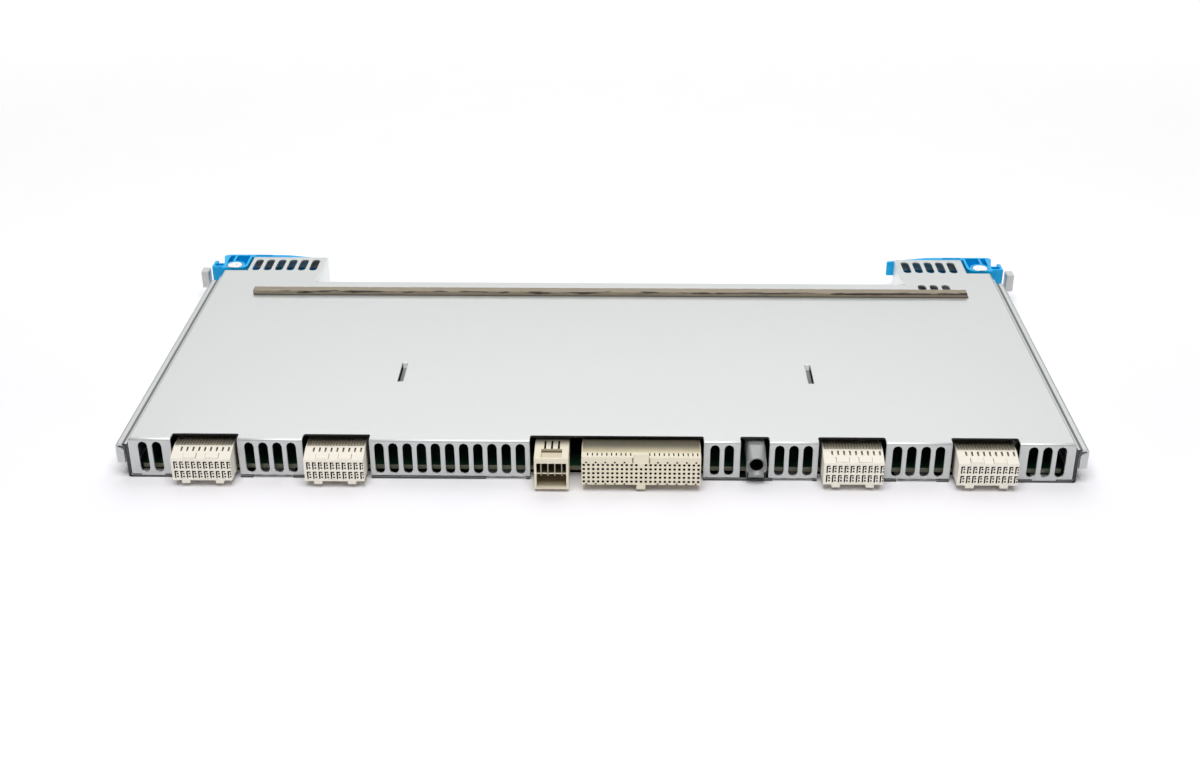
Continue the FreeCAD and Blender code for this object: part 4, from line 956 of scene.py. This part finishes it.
@dataclass
class SignalConnector(Receptacle):
    """Paired signal receptacle: shield slots, contact openings, ramp slots and grooved pads."""

    FINISHES = (Finishes.PALE, Finishes.CAVITY_SHADE, Finishes.STRIP, Finishes.SHADED)
    pair_pitch: float = 4.5
    foot_spacing: float = 14.3
    face_height: float = 10.4
    ramp_length: float = 7.6
    shield_inset: float = 1.0
    shield_length: float = 3.5
    shield_foot: float = 1.6
    shield_slit: float = 0.6
    shield_depth: float = 1.6
    contact: float = 0.76
    contact_inset: float = 0.95
    contact_pitch: float = 1.4
    contact_depth: float = 1.4
    ramp_slot: float = 0.8
    ramp_slot_inset: float = 0.15
    ramp_slot_span: tuple[float, float] = (4.7, 7.2)
    ramp_slot_depth: float = 1.3
    pad_width: float = 5.3
    pad_place: float = 4.77
    pad_span: tuple[float, float] = (0.5, 3.4)
    pad_rise: float = 0.35
    pad_groove: float = 0.22
    groove_depth: float = 0.5
    gap_reach: float = 9.0

    def model(self) -> None:
        """Shape the body, press its openings and add its feet."""
        front, top = self.low.y, self.high.z
        face_top = self.bottom + self.face_height * MM
        ramp_end = front + self.ramp_length * MM
        self.stepped([(front, self.bottom), (front, face_top), (ramp_end, top)])
        slots, contacts = self.openings()
        # The slots and contact openings are near-black inside: painted shade.
        self.press(Plate.front(front), slots, self.shield_depth, Finishes.CAVITY_SHADE)
        self.press(Plate.front(front), contacts, self.contact_depth, Finishes.CAVITY_SHADE)
        slope = Vector((0, face_top - top, ramp_end - front)).normalized()
        self.press_ramp(Plate(Vector((0, front, face_top)), slope))
        lines = [self.middle + (i - self.columns) * self.pitch * MM / 2 for i in range(1, 2 * self.columns)]
        self.wafers(ramp_end, lines, ramp_end + self.gap_reach * MM)
        for side in (-1, 1):
            self.foot(self.middle + side * self.foot_spacing * MM / 2)

    def column_x(self, column: int) -> float:
        """Left edge of a column's shield slot."""
        return self.middle + ((column - self.columns / 2) * self.pitch + self.shield_inset) * MM

    def openings(self) -> tuple[list[Rect], list[Rect]]:
        """Lay out the mating face.

        Returns:
            The shield slots and the contact openings.
        """
        slots: list[Rect] = []
        contacts: list[Rect] = []
        row_middle = self.bottom + self.face_height * MM / 2
        for column in range(self.columns):
            x = self.column_x(column)
            across = x + (self.contact_inset + self.contact / 2) * MM
            for row in (-1, 1):
                z = row_middle + row * self.pair_pitch * MM / 2
                top = z + self.shield_length * MM / 2
                slots.append((x, x + self.shield_slit * MM, top - self.shield_length * MM, top))
                slots.append((x, x + self.shield_foot * MM, top - self.shield_slit * MM, top))
                for pin in (-1, 1):
                    height = z + (pin * self.contact_pitch - self.shield_slit) * MM / 2
                    contacts.append(self.square(across, height, self.contact))
        return slots, contacts

    def press_ramp(self, ramp: Plate) -> None:
        """Raise two grooved pads at the foot of the ramp and press wafer slots near its top.

        Args:
            ramp: The ramp's face.
        """
        place, groove = self.pad_place * MM, self.pad_groove * MM
        pads = self.row([self.middle - place, self.middle + place], self.pad_width,
                        *(v * MM for v in self.pad_span))
        grooves: list[Rect] = []
        for left, right, foot, top in pads:
            grooves.append((left - groove, left, foot, top + groove))
            grooves.append((right, right + groove, foot, top + groove))
            grooves.append((left, right, top, top + groove))
        between = [self.column_x(c) + self.ramp_slot_inset * MM for c in range(1, self.columns)]
        slots = self.row(between, self.ramp_slot, *(v * MM for v in self.ramp_slot_span))
        self.press(ramp, pads, -self.pad_rise, Finishes.PALE)
        # The grooves and the ramp slots take the darker shaded moulding: painted shade.
        self.press(ramp, grooves, self.groove_depth, Finishes.SHADED)
        self.press(ramp, slots, self.ramp_slot_depth, Finishes.SHADED)


@dataclass
class ControlConnector(Receptacle):
    """Pitch-grid receptacle: contact openings, a centre key with slits, ticks and wafer gaps."""

    BODY = Finishes.CREAM
    WAFERS = Finishes.WAFER
    FINISHES = (BODY, Finishes.CAVITY_SHADE, WAFERS, Finishes.SHADED)
    node: str = "control_connector"
    ease: float = 0.15
    columns: int = 25
    rows: int = 5
    pitch: float = 2.0
    foot_drop: float = 2.2
    foot_width: float = 3.8
    foot_depth: float = 4.95
    drop: float = 1.7
    grid_lift: float = 3.9
    step_back: float = 12.6
    key_width: float = 6.4
    key_depth: float = 2.4
    key_fall: float = 3.0
    key_slit: float = 0.4
    key_slit_gap: float = 0.35
    key_slit_span: tuple[float, float] = (2.9, 0.3)
    key_slit_depth: float = 0.9
    opening: float = 1.02
    opening_depth: float = 2.4
    shield_size: float = 0.75
    shield_offset: float = 5.2
    shields_a_side: int = 5
    front_plate: float = 1.3
    tick_length: float = 2.5
    tick_width: float = 0.5
    tick_shift: float = 0.4
    tick_depth: float = 0.9
    tick_margin: float = 0.1
    wafer_fall: float = 0.15
    wafer_rim: float = 0.3
    wafer_back: float = 0.6
    gap_width: float = 0.26
    gap_front: float = 0.5
    gap_depth: float = 0.3
    gap_back: float = 1.0

    def model(self) -> None:
        """Shape the bodies, press their openings and add the foot."""
        tick_front = self.low.y + self.front_plate * MM
        tick_back = tick_front + self.tick_length * MM
        behind = tick_back + self.tick_margin * MM
        key = self.key_width * MM / 2
        self.bodies(behind, key)
        front = Plate.front(self.low.y)
        self.press(front, self.openings(), self.opening_depth, Finishes.CAVITY_SHADE)
        beside = key + self.key_slit_gap * MM
        slits = self.row([self.middle - beside, self.middle + beside], self.key_slit,
                         *(self.high.z - v * MM for v in self.key_slit_span))
        # The key's slits take the darker shaded moulding and the ticks the near-black one: painted shade.
        self.press(front, slits, self.key_slit_depth, Finishes.SHADED)
        lines = [self.low.x + i * self.pitch * MM / 2 for i in range(1, 2 * self.columns)]
        ticks = [x - self.tick_shift * MM for x in lines[2::2] if abs(x - self.middle) > key]
        self.press(Plate.top(self.high.z), self.row(ticks, self.tick_width, tick_front, tick_back),
                   self.tick_depth, Finishes.CAVITY_SHADE)
        self.wafers(behind, lines, self.high.y - self.gap_back * MM)
        self.foot(self.middle)

    def bodies(self, behind: float, key: float) -> None:
        """Add the front blocks on both sides of the key, the key's own block and the body behind them.

        Args:
            behind: Where the body starts in Y.
            key: Half of the key's width in metres.
        """
        low, high, bottom = self.low, self.high, self.bottom
        back = [(behind, high.z), (behind, bottom)]
        square = [(low.y, bottom), (low.y, high.z), *back]
        keyed = [(low.y, bottom), (low.y, high.z - self.key_fall * MM),
                 (low.y + self.key_depth * MM, high.z), *back]
        self.profile(square, low.x, self.middle - key)
        self.profile(keyed, self.middle - key, self.middle + key)
        self.profile(square, self.middle + key, high.x)
        self.stepped(back[::-1])

    def openings(self) -> list[Rect]:
        """Lay out the contact openings on the grid and the shield openings above and below it.

        Returns:
            The openings.
        """
        grid = self.bottom + (self.drop + self.grid_lift) * MM
        found: list[Rect] = []
        for column in range(self.columns):
            x = self.middle + (column - (self.columns - 1) / 2) * self.pitch * MM
            for row in range(self.rows):
                under_key = row == self.rows - 1 and column == self.columns // 2
                if not under_key:
                    z = grid + (row - (self.rows - 1) / 2) * self.pitch * MM
                    found.append(self.square(x, z, self.opening))
        reach = ((self.columns - 1) / 2 - 0.5) * self.pitch
        for side in (-1, 1):
            for i in range(self.shields_a_side):
                x = self.middle + side * (reach - 2 * i * self.pitch) * MM
                for z in (grid + self.shield_offset * MM, grid - self.shield_offset * MM):
                    found.append(self.square(x, z, self.shield_size))
        return found


@dataclass
class PowerConnector(Piece):
    """Box receptacle: a hooded mouth, a shelf inside it, a pocket with a trench and slits on its top."""

    FINISHES = (Finishes.BOX, Finishes.CAVITY_SHADE, Finishes.SHADED, Finishes.OLIVE_SHADE, Finishes.POCKET_SHADE)
    node: str = "power_connector"
    ease: float = 0.25
    drop: float = 3.8
    step_back: float = 13.2
    wall: float = 1.0
    roof: float = 2.4
    shelf: float = 0.6
    shelf_lift: float = 5.6
    shelf_setback: float = 1.6
    mouth_depth: float = 11.0
    pocket_width: float = 8.8
    pocket_length: float = 7.2
    pocket_depth: float = 1.2
    trench: float = 0.9
    trench_depth: float = 0.9
    slit_width: float = 0.85
    slit_pitch: float = 2.9
    slit_span: tuple[float, float] = (0.1, 7.0)
    slit_depth: float = 2.2

    def model(self) -> None:
        """Shape the box and press its mouth and its top."""
        low, high = self.low, self.high
        board = low.z + self.drop * MM
        step = low.y + self.step_back * MM
        self.profile([(low.y, low.z), (low.y, high.z), (high.y, high.z), (high.y, board), (step, board),
                      (step, low.z)], low.x, high.x)
        left, right = low.x + self.wall * MM, high.x - self.wall * MM
        floor, roof = low.z + self.wall * MM, high.z - self.roof * MM
        shelf = floor + self.shelf_lift * MM
        self.press(Plate.front(low.y), [(left, right, floor, roof)], self.shelf_setback, Finishes.BOX)
        inner = Plate.front(low.y + self.shelf_setback * MM)
        deep = self.mouth_depth - self.shelf_setback
        # Painted shade deep in the mouth: the darker shaded moulding below the shelf, dark olive above it.
        self.press(inner, [(left, right, floor, shelf)], deep, Finishes.SHADED)
        self.press(inner, [(left, right, shelf + self.shelf * MM, roof)], deep, Finishes.OLIVE_SHADE)
        self.press_top()

    def press_top(self) -> None:
        """Press the pocket, the trench at its end and the slits behind it into the top."""
        start = self.low.y + self.wall * MM
        end = start + self.pocket_length * MM
        top, sunk = Plate.top(self.high.z), Plate.top(self.high.z - self.pocket_depth * MM)
        pocket = self.row([self.middle], self.pocket_width, start, end)
        trench = self.row([self.middle], self.pocket_width, end - self.trench * MM, end)
        slits = self.row([self.middle + i * self.slit_pitch * MM for i in (-1, 0, 1)], self.slit_width,
                         *(end + v * MM for v in self.slit_span))
        # Painted shade in the recesses: a darker pocket floor, a dark olive trench and near-black slits.
        self.press(top, pocket, self.pocket_depth, Finishes.POCKET_SHADE)
        self.press(sunk, trench, self.trench_depth, Finishes.OLIVE_SHADE)
        self.press(top, slits, self.slit_depth, Finishes.CAVITY_SHADE)


@dataclass
class GuideSocket(Piece):
    """Cast socket: a round nose that widens into a tall block, with a countersunk bore and a keel."""

    NAME = "{}_casting"
    FINISHES = (Finishes.CASTING, Finishes.CAVITY_SHADE)
    node: str = "guide_socket"
    radius: float = 4.15
    bore_lift: float = 6.0
    bore_radius: float = 2.8
    bore_depth: float = 11.6
    mouth_radius: float = 4.0
    mouth_depth: float = 1.5
    nose_rise: float = 4.1
    nose_power: float = 2.5
    block_power: float = 5.0
    slope_length: float = 6.5
    seat_lift: float = 1.9
    keel_setback: float = 1.2
    keel_back: float = 6.6
    keel_clear: float = 3.1
    around: int = 40

    @property
    def axis(self) -> Vector:
        """The bore's axis at the front."""
        return Vector((self.middle, self.low.y, self.low.z + self.bore_lift * MM))

    @property
    def turns(self) -> list[tuple[float, float]]:
        """Cosine and sine of each step around the axis."""
        angles = [2 * math.pi * i / self.around for i in range(self.around)]
        return [(math.cos(a), math.sin(a)) for a in angles]

    def model(self) -> None:
        """Shape the sleeve and the keel below and beside its bore."""
        low, high, axis = self.low, self.high, self.axis
        rise = high.z - axis.z
        inner = self.sleeve([
            self.section(high.y - low.y, rise, self.block_power),
            self.section(self.slope_length * MM, rise, self.block_power),
            self.section(0.0, self.nose_rise * MM, self.nose_power),
            self.circle(0.0, self.mouth_radius),
            self.circle(self.mouth_depth, self.bore_radius),
            self.circle(self.bore_depth, self.bore_radius),
        ])
        # The bore's inside is near-black: painted shade.
        self.paint(inner, Finishes.CAVITY_SHADE)
        bmesh.ops.recalc_face_normals(self.mesh, faces=self.mesh.faces[:])
        clear = self.keel_clear * MM
        front, back = low.y + self.keel_setback * MM, low.y + self.keel_back * MM
        for left, right, top in ((low.x, high.x, axis.z - clear), (low.x, axis.x - clear, axis.z),
                                 (axis.x + clear, high.x, axis.z)):
            self.block(Vector((left, front, low.z)), Vector((right, back, top)), Finishes.CASTING)

    def section(self, back: float, rise: float, power: float) -> list[Vector]:
        """Outline of the nose at one place: round below the bore's axis, arched above it.

        Args:
            back: Distance behind the front in metres.
            rise: Height of the arch above the axis in metres.
            power: How square the arch is; 2 is an ellipse.

        Returns:
            The outline's points in order.
        """
        points = []
        least = self.low.z + self.seat_lift * MM
        for x, z in self.turns:
            height = z * self.radius * MM
            if z > 0.0:
                x = squared(x, 2 / power)
                height = squared(z, 2 / power) * rise
            points.append(Vector((self.axis.x + x * self.radius * MM, self.axis.y + back,
                                  max(self.axis.z + height, least))))
        return points

    def circle(self, back: float, radius: float) -> list[Vector]:
        """Circle around the bore's axis, by its distance behind the front and its radius."""
        return [self.axis + Vector((radius * x, back, radius * z)) * MM for x, z in self.turns]

    def sleeve(self, rings: list[list[Vector]]) -> set[BMFace]:
        """Extrude the first ring through all others and close both ends.

        Args:
            rings: Rings with equally many points.

        Returns:
            The faces of the last stretch and its end.
        """
        verts = [self.mesh.verts.new(p) for p in rings[0]]
        first = edges = [self.mesh.edges.new(pair) for pair in zip(verts, verts[1:] + verts[:1])]
        inner = set()
        for points in rings[1:]:
            fresh, edges, inner = self.grow(edges)
            verts = [next(e.other_vert(v) for e in v.link_edges if e.other_vert(v) in fresh) for v in verts]
            for vert, point in zip(verts, points):
                vert.co = point
        bmesh.ops.holes_fill(self.mesh, edges=first, sides=0)
        return inner.union(bmesh.ops.holes_fill(self.mesh, edges=edges, sides=0)["faces"])


@dataclass
class Gasket(Piece):
    """Fabric-over-foam strip with slanting folds, on a thin dark adhesive tape.

    Attributes:
        squareness: Power that squares the section; 1 is an ellipse.
        fold: Depth of the folds.
        fold_rate: Folds along X, per metre.
        fold_slant: Folds across the strip, per metre.
        fold_power: How narrow the folds are; 1 is a plain wave.
        fold_wander: How far the folds wander, in radians.
        wander_rate: Scale of that wandering, per metre.
        dent: Depth of the dents between folds, as a share of the folds' depth.
        dent_rate: Scale of the dents along X and Y, per metre, and the layer of noise they take.
    """

    NAME = "gasket_strip"
    FINISHES = (Finishes.FABRIC, Finishes.TAPE)
    node: str = "emi_gasket"
    ease: float = 0.05
    tape: float = 0.2
    tape_end: float = 0.8
    tape_lap: float = 0.1
    steps: int = 480
    around: int = 16
    squareness: float = 0.2
    fold: float = 0.12
    fold_rate: float = 100.0
    fold_slant: float = 520.0
    fold_power: int = 3
    fold_wander: float = 3.0
    wander_rate: float = 60.0
    dent: float = 0.5
    dent_rate: Triple = (300.0, 500.0, 2.3)

    def model(self) -> None:
        """Shape the strip, fold its skin, lay out its weave and add its tape."""
        low, high = self.low, self.high
        tape_top = low.z + self.tape * MM
        body_low = Vector((low.x, low.y, tape_top))
        body_high = Vector((high.x - self.tape_end * MM, high.y, high.z))
        self.mesh.faces.new(self.section(body_low, body_high))
        loop = self.mesh.edges[:]
        step = Vector(((body_high.x - low.x) / self.steps, 0, 0))
        for _step in range(self.steps):
            fresh, loop, _ = self.grow(loop)
            bmesh.ops.translate(self.mesh, verts=list(fresh), vec=step)
        bmesh.ops.contextual_create(self.mesh, geom=loop)
        bmesh.ops.recalc_face_normals(self.mesh, faces=self.mesh.faces[:])
        self.press_folds(body_low, body_high)
        layer = self.mesh.loops.layers.uv.new("weave")
        for face in self.mesh.faces:
            face.smooth = True
            for corner in face.loops:
                corner[layer].uv = (corner.vert.co.x, low.y + high.z - corner.vert.co.y - corner.vert.co.z)
        self.block(low, Vector((high.x, high.y, tape_top + self.tape_lap * MM)), Finishes.TAPE)

    def section(self, low: Vector, high: Vector) -> list[BMVert]:
        """Vertices of the strip's crowned section at its left end.

        Args:
            low: The strip's lowest corner.
            high: The strip's highest corner.

        Returns:
            The section's vertices in order.
        """
        centre, half = (low + high) / 2, (high - low) / 2
        ring = []
        for i in range(self.around):
            angle = 2 * math.pi * (i + 0.5) / self.around
            y = squared(math.cos(angle), self.squareness) * half.y
            z = squared(math.sin(angle), self.squareness) * half.z
            ring.append(self.mesh.verts.new((low.x, centre.y + y, max(centre.z + z, low.z))))
        return ring

    def press_folds(self, low: Vector, high: Vector) -> None:
        """Press slanting folds into the skin, none under the strip.

        Args:
            low: The strip's lowest corner.
            high: The strip's highest corner.
        """
        middle = (low + high) / 2
        dent_x, dent_y, layer = self.dent_rate
        for vert in self.mesh.verts:
            height = (vert.co.z - low.z) / (high.z - low.z)
            slant = vert.co.x * self.fold_rate - (vert.co.y + vert.co.z) * self.fold_slant
            wander = self.fold_wander * noise.noise(vert.co * self.wander_rate)
            fold = max(0.0, math.sin(2 * math.pi * slant + wander)) ** self.fold_power
            fold += self.dent * max(0.0, noise.noise(Vector((vert.co.x * dent_x, vert.co.y * dent_y, layer))))
            inward = Vector((0, middle.y - vert.co.y, middle.z - vert.co.z)).normalized()
            vert.co += inward * self.fold * MM * fold * min(1.0, 2 * height)


@dataclass
class PivotRivet(Piece):
    """Turned rivet with a rounded head, spun from its half section."""

    NAME = "{}_turned"
    FINISHES = (Finishes.BRIGHT,)
    ease: float = 0.25
    foot_radius: float = 4.2
    shank_radius: float = 2.5
    head_radius: float = 3.9
    foot_height: float = 8.2
    head_height: float = 0.8
    dimple: float = 0.9
    turns: int = 48

    def model(self) -> None:
        """Spin the half section about the rivet's axis."""
        low, top, soft = self.low.z, self.high.z, self.ease
        centre = Vector((self.middle, (self.low.y + self.high.y) / 2, 0))
        head = top - self.head_height * MM
        foot = low + self.foot_height * MM
        section = [
            (0.0, low), (self.foot_radius, low), (self.foot_radius, foot), (self.shank_radius, foot),
            (self.shank_radius, head), (self.head_radius, head), (self.head_radius, top - soft * MM),
            (self.head_radius - soft, top), (self.dimple + soft, top), (self.dimple, top - soft * MM),
            (self.dimple / 2, top - 2 * soft * MM), (0.0, top - 2 * soft * MM),
        ]
        points = [self.mesh.verts.new(centre + Vector((r * MM, 0, z))) for r, z in section]
        edges = [self.mesh.edges.new(pair) for pair in zip(points, points[1:])]
        bmesh.ops.spin(self.mesh, geom=points + edges, cent=centre, axis=(0, 0, 1), angle=2 * math.pi,
                       steps=self.turns, use_merge=True)
        bmesh.ops.remove_doubles(self.mesh, verts=self.mesh.verts[:], dist=WELD_GAP)
        bmesh.ops.recalc_face_normals(self.mesh, faces=self.mesh.faces[:])


@dataclass(frozen=True)
class Lamp:
    """A square area light.

    Attributes:
        name: Name of the light.
        at: Its place in metres.
        target: The point it faces.
        size: Side of its square in metres.
        power: Its power in watts.
    """

    name: str
    at: Triple
    target: Triple
    size: float
    power: float

    def hang(self) -> None:
        """Add the light to the scene."""
        data = bpy.data.lights.new(self.name, "AREA")
        data.size = self.size
        data.energy = self.power
        lamp = bpy.data.objects.new(self.name, data)
        lamp.location = self.at
        lamp.rotation_euler = (Vector(self.target) - Vector(self.at)).to_track_quat("-Z", "Y").to_euler()
        bpy.context.collection.objects.link(lamp)


@dataclass(frozen=True)
class Studio:
    """White studio: camera at the photographed angle, soft lights and a pale floor.

    Attributes:
        eye: Camera place in metres.
        turn: Camera turn about X, Y and Z in degrees.
        lens: Focal length in millimetres on the sensor's width.
        sensor: Width of the sensor in millimetres.
        floor_size: Side of the square floor in metres.
        near_paper: The floor's colour in front of the part.
        far_paper: The floor's colour behind the part.
        paper_span: Where the floor's colour changes in Y, in metres.
        paper_share: Share of the far colour behind that.
        paper_grain: Share of a noise in the colour.
        glow: How bright the floor glows far from the part.
        glow_span: Where the glow starts and is full, in metres from the middle.
        horizon: Light from the horizon.
        overhead: Light from above.
        horizon_span: Sines of the heights at which the first turns into the second.
        lamps: The lights.
    """

    eye: Triple = (0.01108, -0.68446, 0.34787)
    turn: Triple = (62.645, 0.144, 0.993)
    lens: float = 47.955
    sensor: float = 36.0
    floor_size: float = 60.0
    near_paper: Triple = (0.895, 0.88, 0.915)
    far_paper: Triple = (0.98, 0.975, 0.985)
    paper_span: tuple[float, float] = (-0.05, 0.15)
    paper_share: float = 0.8
    paper_grain: float = 0.3
    glow: float = 0.85
    glow_span: tuple[float, float] = (0.3, 2.2)
    horizon: float = 1.0
    overhead: float = 0.1
    horizon_span: tuple[float, float] = (0.03, 0.2)
    lamps: tuple[Lamp, ...] = (
        Lamp("key", (0.0, -0.5, 1.25), (0.0, 0.0, 0.0), 1.0, 15.0),
        Lamp("backdrop", (0.0, 1.6, 1.8), (0.0, 0.6, 0.0), 2.6, 37.0),
    )

    def build(self) -> None:
        """Set up camera, floor, lights and surroundings."""
        self.camera()
        self.floor()
        for lamp in self.lamps:
            lamp.hang()
        self.surroundings()
        bpy.context.scene.view_settings.view_transform = "Standard"

    def camera(self) -> None:
        """Place the camera."""
        data = bpy.data.cameras.new("camera")
        data.lens = self.lens
        data.sensor_width = self.sensor
        data.sensor_fit = "HORIZONTAL"
        data.clip_start = 0.01
        eye = bpy.data.objects.new("camera", data)
        eye.location = self.eye
        eye.rotation_euler = Euler([math.radians(v) for v in self.turn])
        bpy.context.collection.objects.link(eye)
        bpy.context.scene.camera = eye

    def floor(self) -> None:
        """Lay the pale paper just under the part; far from it the paper glows a little."""
        mesh = bmesh.new()
        bmesh.ops.create_grid(mesh, x_segments=1, y_segments=1, size=self.floor_size / 2)
        paper, graph, shader = new_material("paper_floor")
        place = graph.place()
        grain = graph.noise(place, Scale=30.0, Detail=3.0)
        behind = graph.ramp(graph.split(place)[1], self.paper_span, (0.0, self.paper_share))
        tone = graph.math("MULTIPLY_ADD", grain, self.paper_grain, behind)
        glow = graph.ramp(graph.measure("LENGTH", place), self.glow_span, (0.0, self.glow))
        graph.join(graph.blend(tone, self.near_paper, self.far_paper), shader.inputs["Base Color"])
        graph.join(glow, shader.inputs["Emission Color"])
        shader.inputs["Emission Strength"].default_value = 1.0
        shader.inputs["Roughness"].default_value = 0.9
        laid = new_object(mesh, "floor", [paper])

    def surroundings(self) -> None:
        """Surround the studio with a dim white that is brighter along the horizon."""
        world = bpy.data.worlds.new("studio")
        world.use_nodes = True
        graph = Graph(world.node_tree)
        shine = world.node_tree.nodes["Background"]
        shine.inputs["Color"].default_value = (1.0, 1.0, 1.0, 1.0)
        height = graph.split(graph.add("ShaderNodeTexCoord").outputs["Generated"])[2]
        strength = graph.ramp(height, self.horizon_span, (self.horizon, self.overhead))
        graph.join(strength, shine.inputs["Strength"])
        bpy.context.scene.world = world


@dataclass
class SwitchBoard:
    """The whole part: dressed CAD nodes and the modelled pieces that stand for some of them."""

    finishes: Finishes
    plain: list[CadPiece] = field(default_factory=lambda: [
        CadPiece("top_cover", Finishes.COVER, 0.15),
        CadPiece("base_tray", Finishes.TRAY, 0.12),
        CadPiece("circuit_board", Finishes.BOARD),
        CadPiece("power_contacts", Finishes.CONTACT, 0.06),
        CadPiece("left_lever", Finishes.BLUE, 0.3),
        CadPiece("right_lever", Finishes.BLUE, 0.3),
        CadPiece("board_standoffs", Finishes.BRIGHT),
        CadPiece("board_screws", Finishes.BRIGHT),
        CadPiece("cover_screws", Finishes.BRIGHT),
        CadPiece("switch_chip", Finishes.BLACK),
        CadPiece("thermal_pad", Finishes.PAD),
        CadPiece("heat_sink", Finishes.ALUMINIUM),
        CadPiece("heat_sink_pins", Finishes.NYLON),
        CadPiece("power_inductors", Finishes.BLACK, 0.4),
        CadPiece("bulk_capacitors", Finishes.ALUMINIUM),
        CadPiece("management_chip", Finishes.BLACK),
        CadPiece("memory_chip", Finishes.BLACK),
        CadPiece("light_pipes", Finishes.CLEAR),
    ])
    signal_connectors: int = 4

    def build(self, frame: dict) -> None:
        """Dress the CAD nodes and add the modelled pieces.
        """
        for piece in self.plain:
            piece.dress(frame, self.finishes)
        for number in range(1, self.signal_connectors + 1):
            self.add(SignalConnector(f"signal_connector_{number}"), Slot.CONNECTOR)
        self.add(ControlConnector(), Slot.CONNECTOR)
        self.add(PowerConnector(), Slot.CONNECTOR)
        self.add(GuideSocket(), Slot.CASTING)
        strip = self.add(Gasket(), Slot.FABRIC)
        for node in ("left_pivot_rivet", "right_pivot_rivet"):
            self.add(PivotRivet(node), Slot.RIVET)

    def add(self, model: Piece, slot: Slot) -> Object:
        """Build a modelled piece and put it in the place of its CAD node, on the chassis.

        Args:
            model: The piece.
            slot: The record's material slot; not used.

        Returns:
            The finished piece.
        """
        piece = model.build(self.finishes)
        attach(piece, CHASSIS)
        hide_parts(model.node)
        LOG.info("modelled %s", model.node)
        return piece


def main() -> None:
    """Build the scene."""
    logging.basicConfig(level=logging.INFO)
    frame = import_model()
    SwitchBoard(Finishes(Effects())).build(frame)
    Studio().build()
    LOG.info("scene built")


if __name__ == "__main__":
    main()
